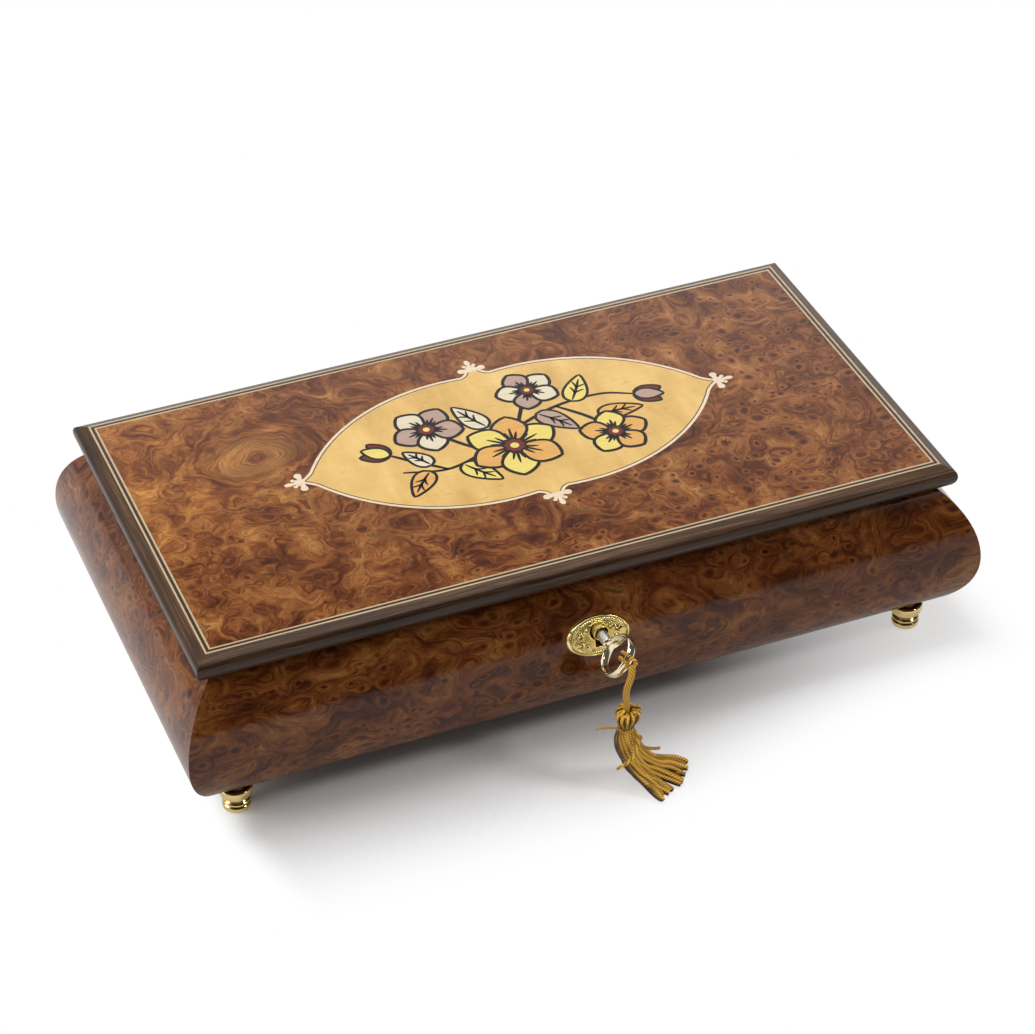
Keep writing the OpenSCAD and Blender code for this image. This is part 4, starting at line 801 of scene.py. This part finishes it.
def make_tie():
    """The thread that ties the head: three turns of a helix, a knot at its right, a loose end that
    points left, a thick end that curls down over the skirt, and a stray strand."""
    a = np.linspace(0, 2 * np.pi * 3.2, 260)
    radius = 2.62 + 0.06 * np.sin(7 * a)
    drop = 0.35 - 0.36 * a / (2 * np.pi)
    helix = HEAD_FOOT + np.stack([radius * np.cos(a), radius * np.sin(a), drop], axis=1)
    up = np.array([0.3, 0.2, 1.0])
    loose = [[-3.2, -110.6, 26.6], [-5.2, -110.6, 28.2], [-7.4, -110.4, 29.2], [-10.2, -110.2, 29.8],
             [-12.9, -110.0, 30.0]]
    curl = [[1.55, -110.9, 25.0], [1.75, -112.0, 23.4], [1.25, -113.5, 21.4], [0.30, -114.6, 19.5],
            [-1.70, -115.6, 17.6], [-4.50, -116.2, 16.3], [-8.00, -116.4, 15.4]]
    stray = [[2.2, -109.6, 19.4], [3.9, -109.2, 16.7], [6.4, -109.0, 14.4], [9.0, -109.0, 13.1],
             [11.7, -109.0, 12.4]]
    parts = []
    for line, r, tint, pitch in (
            (helix, 0.42, 0.5, 1.7), (line_through(loose, 70), 0.42, 0.3, 1.7),
            (line_through(curl, 130), 0.62, 1.0, 5.0), (line_through(stray, 80), 0.62, 0.1, 2.4)):
        points, ply = twisted_strand(line, r, pitch, up, around=10, depth=0.2, taper=0.25)
        parts.append(strand(points, ply, tint))
    b = whole_turn(40)
    for tilt, grow in ((0.0, 0.80), (0.9, 0.62)):
        knot = np.array([2.9, -110.6, 21.4]) + grow * np.stack(
            [np.cos(b), np.sin(b) * np.cos(tilt), np.sin(b) * np.sin(tilt)], axis=1)
        normal = np.array([0.0, -np.sin(tilt), np.cos(tilt)])
        points, ply = ring_strand(knot, normal, radius=0.58, turns=5, around=10)
        parts.append(loop(points, ply, tint=0.4))
    return add_piece("tassel_tie", parts, SILK_BRIGHT, "tassel")


def make_skirt():
    """The skirt: strands that leave the tie, hang, bend over and lie on the floor in a fan. Its two
    outer edges are smooth lines; a strand with share f lies at f of the way between them, and each
    layer bulges towards the front by its own amount times sin(pi f). A strand gets painted light on
    the fan's outside and painted shade in the gaps, and the two layers behind get painted shade; the
    outside stands square to the two edges and their run."""
    chance = np.random.default_rng(11)
    right = line_through([
        [0.75, -109.3, 26.3], [2.2, -108.4, 22.0], [4.3, -107.0, 16.6], [8.2, -105.6, 8.9],
        [14.0, -105.2, 4.2], [19.6, -106.3, 2.1], [22.6, -108.0, 1.0]], 9)
    left = line_through([
        [-3.0, -107.9, 26.3], [-4.9, -109.2, 21.9], [-3.4, -111.4, 14.9], [-0.6, -113.4, 9.3],
        [2.4, -116.0, 5.4], [5.2, -119.0, 2.3], [6.9, -122.3, 1.0]], 9)
    t, even = np.linspace(0, 1, 9), np.linspace(0, 1, 200)
    front = np.array([-0.30, -0.76, 0.58])
    square = unit(np.cross(left - right, np.gradient(left + right, axis=0)))
    outside = np.stack([np.interp(even, t, square[:, k]) for k in range(3)], axis=1)
    girth = np.interp(even, [0, 0.22, 0.96, 1], [0.62, 1.0, 1.0, 0.85])
    lowest_line, lowest_point = 0.90, 0.04
    parts = []
    # The last value of each row, lit, is painted shade for the layer: the two layers behind are darker.
    for count, first, swell, droop, lit in (
            (8, 0.0, 1.0, 0.0, 1.0), (9, 0.5, 0.40, 0.6, 0.72), (7, 0.0, -0.35, 1.2, 0.72)):
        bulge = swell * np.interp(t, [0, 0.12, 0.35, 0.65, 1.0], [2.0, 2.9, 3.0, 2.2, 0.7])
        for k in range(count):
            f = np.clip((k + first) / (count - 1) + chance.uniform(-0.02, 0.02), 0, 1)
            stops = ((1 - f) * right + f * left
                     + (bulge * chance.uniform(0.75, 1.2) * np.sin(np.pi * f) ** 0.7)[:, None] * front)
            longer = 2.2 * np.sin(np.pi * f) - droop + chance.uniform(-1.5, 1.1)
            stops[-1] += unit(stops[-1] - stops[-2]) * longer
            stops[2:-1] += chance.uniform(-0.40, 0.40, (6, 3))
            stops[-2:] += np.array([[0.5], [1.0]]) * chance.uniform(-0.9, 0.9) * unit(left - right)[-2:]
            stops[:, 2] = np.maximum(stops[:, 2], lowest_line)
            line = line_through(stops, len(even))
            points, ply = twisted_strand(
                line, radius=1.08, pitch=chance.uniform(3.4, 4.8), reference=np.array([0.5, -0.7, 0.4]),
                around=16, plies=4, depth=0.13, girth=girth, phase=chance.uniform(0, 6))
            crown = open_side(points, line, outside)
            points[..., 2] = np.maximum(points[..., 2], lowest_point)
            # Painted shade in the gaps between strands and on the layers behind, painted light on the
            # fan's outside.
            painted_shading = (0.34 + 0.76 * ply) * (0.04 + 0.96 * crown ** 1.8) * lit
            parts.append(strand(points, painted_shading, chance.uniform(0.2, 1.0) * lit))
    skirt = add_piece("tassel_skirt_strands", parts, SILK, "tassel")
    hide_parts("tassel_skirt")
    return skirt


CORD, CORD_LINE = make_cord()
make_hitch()
HEAD = make_tassel_head()
TIE = make_tie()
SKIRT = make_skirt()


# Escutcheon

def make_escutcheon():
    """The pressed oval plate on the swelling wall. Rays from a point in the keyhole run to the oval's
    edge, which gives a grid by angle and share of the ray. Its height is a plate with a round rim, a
    row of beads inside it, a lip round the keyhole and small scrolls on both sides; the grid then goes
    on to the wall's cylinder and turns to the plate's tilt. Places across the plate are shares q of
    its half sizes."""
    half_l, half_h = PLATE_HALF
    face, work_edge, beads_at, groove_at, rim_at = 0.75, 0.76, 0.805, 0.865, 0.93
    hole_r, hole_up, slot_w, slot_low = 3.1, 1.59, 1.5, -4.2
    turn = whole_turn(420)
    cos, sin = np.cos(turn), np.sin(turn)
    middle = 0.6
    lift = middle - hole_up
    round_out = -lift * sin + np.sqrt((lift * sin) ** 2 - lift ** 2 + hole_r ** 2)
    slot_out = np.minimum(slot_w / np.maximum(np.abs(cos), 1e-6),
                          np.where(sin < 0, (slot_low - middle) / np.minimum(sin, -1e-6), 1.0))
    inner = np.maximum(round_out, slot_out)
    qa = (cos / half_l) ** 2 + (sin / half_h) ** 2
    qb = middle * sin / half_h ** 2
    outer = (-qb + np.sqrt(qb ** 2 - qa * ((middle / half_h) ** 2 - 1))) / qa
    share = np.linspace(0, 1, 90)[:, None]
    length = inner[None, :] + share * (outer - inner)[None, :]
    x, z = length * cos, middle + length * sin
    q = np.sqrt((x / half_l) ** 2 + (z / half_h) ** 2)
    angle = np.arctan2(z / half_h, x / half_l)
    edge = np.clip((q - 0.90) / 0.10, 0, 1)
    rim = 0.42 * np.exp(-((q - rim_at) / 0.035) ** 2)
    beads = 64
    phase = angle * beads / (2 * np.pi)
    off = (phase - np.round(phase)) * 2 * np.pi * 9.0 / beads * q
    bead = 0.34 * np.sqrt(np.clip(1 - (off / 0.46) ** 2 - ((q - beads_at) * 9.3 / 0.5) ** 2, 0, 1))
    lip = 0.22 * np.exp(-((length - inner - 0.35) / 0.22) ** 2)
    scroll = np.zeros_like(x)
    for side in (-1, 1):
        for px, pz, size, arms in ((4.6, 2.7, 1.2, 1), (6.8, 1.6, 1.3, 2), (6.8, -1.7, 1.3, 2),
                                   (4.6, -2.9, 1.2, 1), (8.3, 0.0, 1.0, 1), (2.6, -5.2, 1.0, 1)):
            dx, dz = x - side * px, z - pz
            d = np.hypot(dx, dz) + 0.08
            spiral = np.cos(arms * side * np.arctan2(dz, dx) - 4.2 * np.log(d) + px)
            scroll += spiral * np.exp(-(d / size) ** 4)
    work = 0.16 * scroll * (q < work_edge) * np.clip((length - inner - 0.7) / 0.5, 0, 1)
    waves = np.sin(9 * x + 3 * np.sin(7 * z)) * np.sin(8 * z + 2 * np.sin(6 * x))
    grain = 0.04 * waves * (q < work_edge)
    height = (face + rim + bead + lip + work + grain) * np.sqrt(np.clip(1 - edge ** 4, 0, 1))
    groove = 0.25 * np.exp(-((q - groove_at) / 0.02) ** 2)
    # Painted light and shade of the relief: lighter on the rim, beads, lip and scrolls, darker in the
    # groove.
    painted_shading = np.clip(0.5 + (rim + bead + lip) * 1.2 + work * 2.2 - groove, 0, 1)
    depth = np.full((1, len(turn)), -1.0)
    x, z = np.concatenate([x[:1], x, x[-1:]]), np.concatenate([z[:1], z, z[-1:]])
    height = np.concatenate([depth, height, depth * 0.0])
    # The edge row that turns down into the wall gets painted shade.
    painted_shading = np.concatenate([painted_shading[:1] * 0.3, painted_shading, painted_shading[-1:]])
    tilt = np.arcsin((PLATE_Z - BELLY_Z) / UPPER_R)
    y = -np.sqrt((UPPER_R + height) ** 2 - z ** 2)
    points = np.stack([x, y * np.cos(tilt) + z * np.sin(tilt) + UPPER_R - WALL_HALF[1],
                       -y * np.sin(tilt) + z * np.cos(tilt) + BELLY_Z], axis=-1)
    plate = add_piece("escutcheon_plate", [sheet(points, wrap_columns=True, painted_shading=painted_shading)],
                      relief_gilt(), "case")
    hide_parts("escutcheon")


make_escutcheon()


def make_key():
    """The key: a gilt drum and a nickel shank, both turned outlines (length, radius) about the key's
    line, which leans a little to the bow; the bow, a rounded band carried round a circle; and the bit,
    a flat bar inside the lock. The drum sits a little above the shank's line."""
    back = np.array([0.0, -62.0, KEY_Z])
    ahead = unit(np.array([0.9, -34.0, 0.1]))
    side = unit(np.cross(ahead, [0.0, 0.0, 1.0]))
    up = np.cross(side, ahead)
    a = whole_turn(48)
    ring = np.cos(a)[None, :, None] * side + np.sin(a)[None, :, None] * up
    drum = np.array([[15.4, 2.50], [18.6, 2.50], [20.3, 2.50], [21.0, 2.53], [21.3, 2.62], [21.4, 2.75],
                     [21.3, 2.88], [21.0, 2.95], [15.4, 2.95]])
    shank = np.array([[0.0, 0.4], [0.0, 1.95], [20.0, 1.95], [23.6, 1.95], [26.2, 1.95], [26.8, 1.80],
                      [27.0, 0.4]])
    drum_points, shank_points = [
        (back + outline[:, 0, None, None] * ahead + outline[:, 1, None, None] * ring + lift * up)[::-1]
        for outline, lift in ((drum, 0.45), (shank, 0.0))]
    turn = whole_turn(128)
    spoke = np.cos(turn)[:, None] * BOW_FRONT + np.sin(turn)[:, None] * BOW_RISE
    b = whole_turn(28)
    wide, high = 1.60 * flattened(np.cos(b), 0.7), 0.58 * flattened(np.sin(b), 0.9)
    bow_points = (BOW_MIDDLE + (BOW_R + high)[None, :, None] * spoke[:, None, :]
                  + wide[None, :, None] * BOW_AXIS)
    bar = np.array([[-0.9, -5.1], [0.9, -5.1], [0.9, 0.0], [-0.9, 0.0]])
    run = np.array([-62.4, -65.0])
    bit_points = (np.array([0.0, 0.0, KEY_Z]) + run[:, None, None] * np.array([0.0, 1.0, 0.0])
                  + bar[None, :, :1] * BOW_AXIS + bar[None, :, 1:] * BOW_RISE)
    parts = [loop(drum_points, tint=1.0), strand(shank_points, None, 0.0), loop(bow_points),
             strand(bit_points, None, 0.0)]
    key = add_piece("key_turned", parts, key_metal(), "key")
    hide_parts("key")


make_key()


# Picture of the cartouche: a spray of flowers and leaves in inlaid veneers

INLAY_DEEP = 0.05


def on_lid(flat, lift):
    """Points of the cartouche's plane, measured from its middle, laid on the lid."""
    place = flat + FIELD_MIDDLE
    return np.concatenate([place, np.full((*place.shape[:-1], 1), LID_TOP + lift)], axis=-1)


def heading_of(turn):
    """The arrow of a heading on the lid, and the one square to it."""
    return np.array([np.cos(turn), np.sin(turn)]), np.array([-np.sin(turn), np.cos(turn)])


def petal(base, heading, length, width, bend=0.0, tip=0.7, grow=0.0, notch=0.0):
    """One petal or leaf: along its length t the half width is width * sin(pi * t ** tip) ** 0.85, its
    middle line leans aside by bend * t squared, and its tip is drawn in by the notch. Grow widens it
    all round for the dark line under it."""
    t = np.linspace(0, 1, 22)[:, None]
    s = np.linspace(-1, 1, 11)[None, :]
    half = width * np.sin(np.pi * np.clip(t, 0, 1) ** tip) ** 0.85 + grow * np.sin(np.pi * t) ** 0.3
    ahead = -grow + (length + 2 * grow) * (t - notch * t ** 6 * (1 - s ** 2))
    aside = s * half + bend * t ** 2
    way, cross = heading_of(heading)
    return np.asarray(base) + ahead[..., None] * way + aside[..., None] * cross


def ribbon(stops, width, ends=0.25):
    """A stem or vein: a flat line of even width through the stops that narrows to its ends."""
    stops = np.asarray(stops, float)
    line = line_through(np.column_stack([stops, np.zeros(len(stops))]), 60)[:, :2]
    way = unit(np.gradient(line, axis=0))
    cross = np.stack([-way[:, 1], way[:, 0]], axis=1)
    t = np.linspace(0, 1, 60)
    half = 0.5 * width * (ends + (1 - ends) * np.sin(np.pi * t) ** 0.5)
    s = np.linspace(-1, 1, 3)
    return line[:, None, :] + (half[:, None] * s[None, :])[..., None] * cross[:, None, :]


def disc(middle, radius, waves=0, depth=0.0):
    """A round or scalloped disc by radius and angle."""
    r = np.linspace(0.02, 1, 6)[:, None]
    a = np.linspace(0, 2 * np.pi, 41)[None, :]
    reach = radius * r * (1 + depth * np.cos(waves * a) * r)
    return np.asarray(middle) + np.stack([reach * np.cos(a), reach * np.sin(a)], axis=-1)


def facing_up(grid):
    """Turns a flat grid over where its faces would point down."""
    i, j = grid.shape[0] // 2 - 1, grid.shape[1] // 2 - 1
    u, v = grid[i + 1, j] - grid[i, j], grid[i, j + 1] - grid[i, j]
    return grid if u[0] * v[1] - u[1] * v[0] > 0 else grid[:, ::-1]


def make_spray():
    """The spray: one large flower, three smaller ones and two buds on curved stems with leaves, each
    shape over a slightly larger dark one. Each level lies a little above the one before."""
    layers = {"ebony": [], "yellow": [], "orange": [], "mauve": [], "cream": [], "red": []}
    lowest, level_step = 0.02, 0.006

    def lay(wood, grid, level):
        layers[wood].append(sheet(on_lid(facing_up(grid), lowest + level_step * level)))

    def leaf(base, heading, length, width, bend, wood):
        base = np.asarray(base, float)
        lay("ebony", petal(base, heading, length, width, bend, tip=0.62, grow=1.1), 1)
        lay(wood, petal(base, heading, length, width, bend, tip=0.62), 2)
        way, cross = heading_of(heading)
        t = np.linspace(0.02, 0.86, 5)[:, None]
        lay("ebony", ribbon(base + t * length * way + bend * t ** 2 * cross, 1.15), 3)
        for f in (0.30, 0.52):
            root = base + f * length * way + bend * f ** 2 * cross
            for side in (-1, 1):
                out = root + 0.20 * length * way + side * 0.66 * width * cross
                lay("ebony", ribbon([root, (root + out) / 2 + 0.3 * way, out], 0.85), 3)

    def flower(middle, petals, length, width, woods, turn, heart):
        middle = np.asarray(middle, float)
        for k in range(petals):
            heading = turn + 2 * np.pi * k / petals
            root = middle + 0.9 * heading_of(heading)[0]
            shape = dict(length=length, width=width, tip=1.25, notch=0.10)
            lay("ebony", petal(root, heading, grow=1.25, **shape), 4 + 3 * k)
            lay(woods[k % len(woods)], petal(root, heading, **shape), 5 + 3 * k)
            for spread in (-0.26, 0.0, 0.26):
                end = middle + (0.66 - abs(spread) * 0.5) * length * heading_of(heading + spread)[0]
                lay("ebony", ribbon([root, 0.5 * (root + end), end], 1.15, 0.1), 6 + 3 * k)
        lay("ebony", disc(middle, heart + 1.0, 9, 0.10), 24)
        lay("red", disc(middle, heart, 9, 0.10), 25)
        lay("yellow", disc(middle, 0.45 * heart), 26)

    stems = [[[-46, -9], [-30, -13], [-14, -8], [2, 1], [20, 8], [38, 9], [50, 4]],
             [[-14, -8], [-22, 2], [-27, 10]], [[2, 1], [8, 12], [12, 19]],
             [[20, 8], [28, -2], [33, -11]], [[-30, -13], [-40, -4], [-47, 3]]]
    for stops in stems:
        lay("ebony", ribbon(stops, 1.6, 0.5), 0)
    for row in (
            ([-37.0, -12.0], 3.95, 15.0, 3.7, 1.0, "orange"),
            ([-24.0, -12.5], 5.25, 16.0, 4.0, 1.4, "yellow"),
            ([-35.0, -8.0], 2.05, 12.0, 3.2, 1.2, "cream"),
            ([12.0, 6.0], 5.45, 17.0, 4.0, -1.6, "mauve"),
            ([27.0, 9.0], 0.95, 16.0, 4.0, 1.2, "yellow"),
            ([33.0, -3.0], 0.05, 16.0, 3.8, -1.6, "orange"),
            ([-8.0, 6.0], 2.1, 17.0, 4.0, -1.4, "cream")):
        leaf(*row)
    for row in (
            ([-3.0, -9.0], 6, 16.5, 6.0, ("yellow", "orange"), 0.35, 3.6),
            ([-29.0, 12.5], 5, 12.0, 4.9, ("mauve", "cream"), 0.9, 2.8),
            ([34.0, -15.0], 5, 11.5, 4.7, ("orange", "yellow"), 0.2, 2.6),
            ([14.0, 21.5], 5, 10.5, 4.3, ("cream", "mauve"), 0.6, 2.4)):
        flower(*row)
    for middle, heading, wood in (([50, 4], -0.35, "mauve"), ([-47, 3], 2.5, "yellow")):
        for lean in (-0.42, 0.42, 0.0):
            top = 2 * (lean == 0)
            shape = dict(length=10.0, width=2.8, tip=0.8)
            lay("ebony", petal(middle, heading + lean, grow=1.0, **shape), 4 + top)
            lay(wood if lean == 0 else "red", petal(middle, heading + lean, **shape), 5 + top)
    woods = {"ebony": ((0.008, 0.007, 0.007), (0.020, 0.017, 0.015)),
             "yellow": ((0.780, 0.600, 0.130), (0.900, 0.750, 0.240)),
             "orange": ((0.680, 0.330, 0.080), (0.840, 0.480, 0.150)),
             "mauve": ((0.420, 0.280, 0.220), (0.560, 0.390, 0.310)),
             "cream": ((0.700, 0.600, 0.420), (0.860, 0.770, 0.580)),
             "red": ((0.130, 0.018, 0.014), (0.220, 0.035, 0.024))}
    for name, sheets in layers.items():
        piece = add_piece("inlay_" + name, sheets, inlay_wood(name + "_veneer", *woods[name]), "lid",
                          smooth=False)
        thicken(piece, INLAY_DEEP)


def make_edge_line():
    """The thin dark line inside the cartouche's pale border: narrow bands along the two crossed arcs
    on each side, and along the hollow arcs that draw them out to the cusps and the ends. A hollow arc
    leaves its arc at the place with the given lean, passes the given point and dips in by a little."""
    tip = FIELD_HALF_L - FIELD_LOBE
    r = (tip ** 2 + FIELD_HALF_H ** 2) / (2 * FIELD_HALF_H)
    middle = np.array([FIELD_LOBE, FIELD_HALF_H - r])
    dip, s = 0.3, np.array([0.02, 0.42])
    cusp_from, cusp_half, cusp_rise = 7.5, 2.1, 3.0
    end_from, end_half, end_reach = 6.5, 0.6, 2.0
    cusp = np.arcsin((cusp_from - FIELD_LOBE) / r)
    end = np.arccos((end_from + r - FIELD_HALF_H) / r)
    cusp_h = middle[1] + r * np.cos(cusp) + cusp_rise
    bands, stops = [], []
    for lean, to, way in ((cusp, (cusp_half, cusp_h), 1),
                          (end, (FIELD_HALF_L + end_reach, end_half), -1)):
        arrow_out = np.array([np.sin(lean), np.cos(lean)])
        gap = np.array(to) - middle - r * arrow_out
        hollow = gap @ gap / (2 * arrow_out @ gap)
        centre = middle + (r + hollow - dip) * arrow_out
        apart = r + hollow - dip
        stops.append(lean - way * np.arccos((apart ** 2 + r ** 2 - hollow ** 2) / (2 * apart * r)))
        share = (apart ** 2 + hollow ** 2 - r ** 2) / (2 * apart * hollow)
        first = lean + np.pi + way * np.arccos(share)
        last = (2 * np.pi - np.arccos((cusp_h - centre[1]) / hollow) if way == 1
                else np.pi - np.arcsin((to[0] - centre[0]) / hollow))
        turn = np.linspace(first, last, 24)[:, None]
        spokes = np.stack([np.sin(turn), np.cos(turn)], axis=-1)
        bands.append(centre + (hollow + s)[None, :, None] * spokes)
    turn = np.linspace(stops[0], stops[1], 90)[:, None]
    bands.append(middle + (r - s)[None, :, None] * np.stack([np.sin(turn), np.cos(turn)], axis=-1))
    parts = [sheet(on_lid(facing_up(band * np.array([side, up])), 0.012))
             for band in bands for side in (-1, 1) for up in (-1, 1)]
    veneer = inlay_wood("edge_line_veneer", (0.035, 0.020, 0.012), (0.080, 0.050, 0.030))
    piece = add_piece("cartouche_edge_line", parts, veneer, "lid", smooth=False)
    thicken(piece, INLAY_DEEP)


make_spray()
make_edge_line()


# Finishes of the carried pieces

def dress(material, *names):
    """Gives a finish to carried pieces."""
    for name in names:
        NODES[name].data.materials.clear()
        NODES[name].data.materials.append(material)


BRASS = metal("polished_brass", (0.900, 0.720, 0.340), (0.640, 0.450, 0.160), 0.12)
FOOT_BRASS = metal("satin_brass", (0.860, 0.660, 0.300), (0.580, 0.410, 0.150), 0.11)
GILT = metal("gilt_pins", (0.880, 0.690, 0.300), (0.560, 0.390, 0.120), 0.16)
STEEL = metal("lock_steel", (0.560, 0.550, 0.530), (0.330, 0.310, 0.290), 0.30)
PLATED = metal("plated_bed", (0.720, 0.710, 0.690), (0.500, 0.480, 0.440), 0.22)
DRUM = metal("movement_brass", (0.800, 0.600, 0.280), (0.540, 0.380, 0.150), 0.20)
BLUED = metal("comb_steel", (0.620, 0.620, 0.640), (0.380, 0.370, 0.380), 0.20)
SPRIG = inlay_wood("sprig_wood", (0.760, 0.590, 0.410), (0.920, 0.770, 0.570))
STRING = inlay_wood("stringing_wood", (0.500, 0.370, 0.220), (0.660, 0.520, 0.340))
INNER = inlay_wood("inner_wood", (0.060, 0.024, 0.012), (0.130, 0.056, 0.028), 0.4, 0.5)
RED_VELVET = velvet("red_velvet", (0.085, 0.006, 0.010), (0.200, 0.018, 0.026))


def make_feet():
    """The four turned feet: one outline (radius, height) about each foot's middle, a neck, a full bowl
    with a round rim, a waist, and two rings below it."""
    outline = np.array([
        [3.30, 11.0], [3.30, 9.70], [4.60, 9.70], [5.30, 10.05], [5.75, 10.05], [6.10, 9.70],
        [6.20, 9.00], [6.10, 7.80], [5.70, 6.50], [5.00, 5.40], [4.35, 4.80], [3.95, 4.45],
        [3.95, 4.20], [4.55, 4.05], [4.90, 3.75], [4.98, 3.40], [4.85, 3.05], [4.35, 2.75],
        [4.35, 2.55], [4.80, 2.35], [5.05, 1.90], [5.10, 1.20], [4.95, 0.50], [4.50, 0.10],
        [0.05, 0.04]])
    a = whole_turn(56)
    ring = np.stack([np.cos(a), np.sin(a)], axis=-1)
    parts = []
    for x in (-FOOT_PLACE[0], FOOT_PLACE[0]):
        for y in (-FOOT_PLACE[1], FOOT_PLACE[1]):
            flat = np.array([x, y]) + outline[:, None, :1] * ring
            high = np.broadcast_to(outline[:, None, 1:], (*flat.shape[:2], 1))
            parts.append(sheet(np.concatenate([flat, high], axis=-1), wrap_columns=True))
    feet = add_piece("feet_turned", parts, FOOT_BRASS, "case")
    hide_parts("foot_front_left", "foot_front_right", "foot_back_left", "foot_back_right")


make_feet()

dress(lid_burl(), "lid_panel")
# Painted shade: the front wall gets a darker copy of the walls' burl, standing in for the shade on the
# front.
dress(wall_burl("front_burl_painted_shade", 0, -1.0, 300.0, (0.60, 0.545, 0.43), 0.58), "wall_front")
dress(wall_burl("back_burl", 0, 1.0, 760.0), "wall_back")
dress(wall_burl("left_burl", 1, -1.0, 1200.0), "wall_left")
dress(wall_burl("right_burl", 1, 1.0, 1500.0), "wall_right")
dress(moulding("long_moulding", 0), "rail_front", "rail_back")
dress(moulding("end_moulding", 1), "rail_left", "rail_right")
dress(STRING, "stringing_outer", "stringing_inner")
dress(SPRIG, "cartouche_line", "cartouche_sprigs")
dress(field_wood(), "cartouche_field")
dress(FOOT_BRASS, "foot_front_left", "foot_front_right", "foot_back_left", "foot_back_right")
dress(BRASS, "hinge_left_box_leaf", "hinge_right_box_leaf", "hinge_left_lid_leaf",
      "hinge_right_lid_leaf", "hinge_left_pin", "hinge_right_pin", "hinge_box_screws",
      "hinge_lid_screws", "strike_plate")
dress(GILT, "escutcheon_pins", "key")
dress(STEEL, "lock_case", "lock_screws", "lock_bolt")
dress(INNER, "base_panel", "partition_long", "partition_cross")
dress(RED_VELVET, "lid_lining", "tray_back", "tray_front", "ring_rolls")
dress(clear_sheet(), "movement_cover")
dress(PLATED, "bedplate", "bearing_post", "movement_screws")
dress(DRUM, "cylinder", "spring_barrel", "governor_frame", "governor_wheel", "comb_screws",
      "winding_key")
dress(BLUED, "comb", "mainspring", "winding_arbor", "governor_worm", "stop_plunger")


# Floor and light

def make_floor():
    """A pale floor. For the camera it keeps the shadow near the box and fades to plain white further
    off; painted light thins the shadow sooner to the right and past the left end, where polished
    pieces also see a painted white reflection of it."""
    half, count, drop = 4000, 9, 0.2
    x, y = np.meshgrid(*2 * [np.linspace(-half, half, count)], indexing="ij")
    points = np.stack([x, y, np.zeros_like(x) - drop], axis=-1)
    mesh = bpy.data.meshes.new("pale_floor")
    faces = grid_quads(count, count, False, False)
    mesh.from_pydata((points.reshape(-1, 3) * MM).tolist(), [], faces.tolist())
    made, tree, shader = new_material("pale_floor")
    place = millimetres(tree)
    speck = noise(place, 0.4, 2.0)
    shade = colours(speck, [(0.3, (0.900, 0.900, 0.900)), (0.7, (0.930, 0.930, 0.930))])
    finish_shader(shader, Base_Color=shade, Roughness=0.75, Specular_IOR_Level=0.2)
    off = arrow("SUBTRACT", arrow("ABSOLUTE", place), (*WALL_HALF, 10.0))
    reach = length_of(arrow("MAXIMUM", off))
    light = source(tree, "ShaderNodeLightPath").outputs
    seen = calc("MAXIMUM", light["Is Camera Ray"], light["Is Transmission Ray"])
    x = split(place)[0]
    # Painted light: the shadow near the box is thinned to the right and past the left end.
    side = plus(span(x, -20.0, 140.0, 0.0, 32.0), span(x, -118.0, -150.0, 0.0, 70.0))
    shadow_to, white_from = 8.0, 54.0
    fade = times(span(plus(reach, side), shadow_to, white_from), seen)
    # Painted reflection: glossy rays see part of the floor there as emitted white.
    painted_reflection_share = 0.34
    painted_reflection = times(span(side, 8.0, 30.0), span(reach, 500.0, 120.0), painted_reflection_share, light["Is Glossy Ray"])
    white = source(tree, "ShaderNodeEmission")
    plug(white.inputs["Color"], (1.0, 1.0, 1.0, 1.0))
    plug(white.inputs["Strength"], 1.0)
    mixed = add("ShaderNodeMixShader", {
        0: calc("MAXIMUM", fade, painted_reflection), 1: shader.outputs[0], 2: white.outputs[0]})
    tree.links.new(mixed.outputs[0], tree.nodes["Material Output"].inputs["Surface"])
    mesh.materials.append(made)
    floor = bpy.data.objects.new("pale_floor", mesh)
    bpy.context.scene.collection.objects.link(floor)


def make_lamp(name, spot, aim, size, power):
    """A square soft lamp at a spot, turned to its aim."""
    data = bpy.data.lights.new(name, "AREA")
    data.shape = "RECTANGLE"
    data.size = data.size_y = size
    data.energy = power
    back = unit(np.asarray(spot, float) - np.asarray(aim, float))
    right = unit(np.cross((0.0, 0.0, 1.0), back))
    stand(bpy.data.objects.new(name, data), right, np.cross(back, right), back, spot)


def light_room():
    """White all round for the camera. The room is bright behind and to the left and dim in front.
    Gloss sees it white up to the height of its walls and dim above them. Three soft lamps: one above,
    one at the left and a small one at the front right."""
    world = bpy.data.worlds.new("white_room")
    world.use_nodes = True
    tree = world.node_tree
    ground = tree.nodes["Background"]
    x, y, z = split(source(tree, "ShaderNodeTexCoord").outputs["Generated"])
    lean = plus(y, times(x, -0.45))
    room = span(lean, -0.35, 0.35, 0.08, 1.0)
    walls = times(span(z, 0.53, 0.64, 1.0, 0.12), span(x, -0.75, -0.2, 0.5, 1.0))
    light = source(tree, "ShaderNodeLightPath").outputs
    seen = calc("MAXIMUM", light["Is Glossy Ray"], light["Is Transmission Ray"])
    gloss = times(room, walls, seen)
    soft = times(times_plus(room, 0.32, 0.13), minus(1.0, seen))
    level = calc("MAXIMUM", plus(gloss, soft), light["Is Camera Ray"])
    plug(ground.inputs["Color"], (1.0, 1.0, 1.0, 1.0))
    plug(ground.inputs["Strength"], level)
    bpy.context.scene.world = world
    for name, spot, aim, size, power in (
            ("ceiling", (-0.20, 0.28, 1.35), (0.0, 0.0, 0.05), 1.6, 14.6),
            ("window_left", (-1.20, 0.20, 0.60), (0.0, 0.0, 0.05), 0.7, 3.9),
            ("lamp_right", (0.90, -0.70, 1.10), (0.0, -0.10, 0.03), 0.35, 6.0)):
        make_lamp(name, spot, aim, size, power)


make_floor()
light_room()
bpy.context.scene.view_settings.view_transform = "Standard"
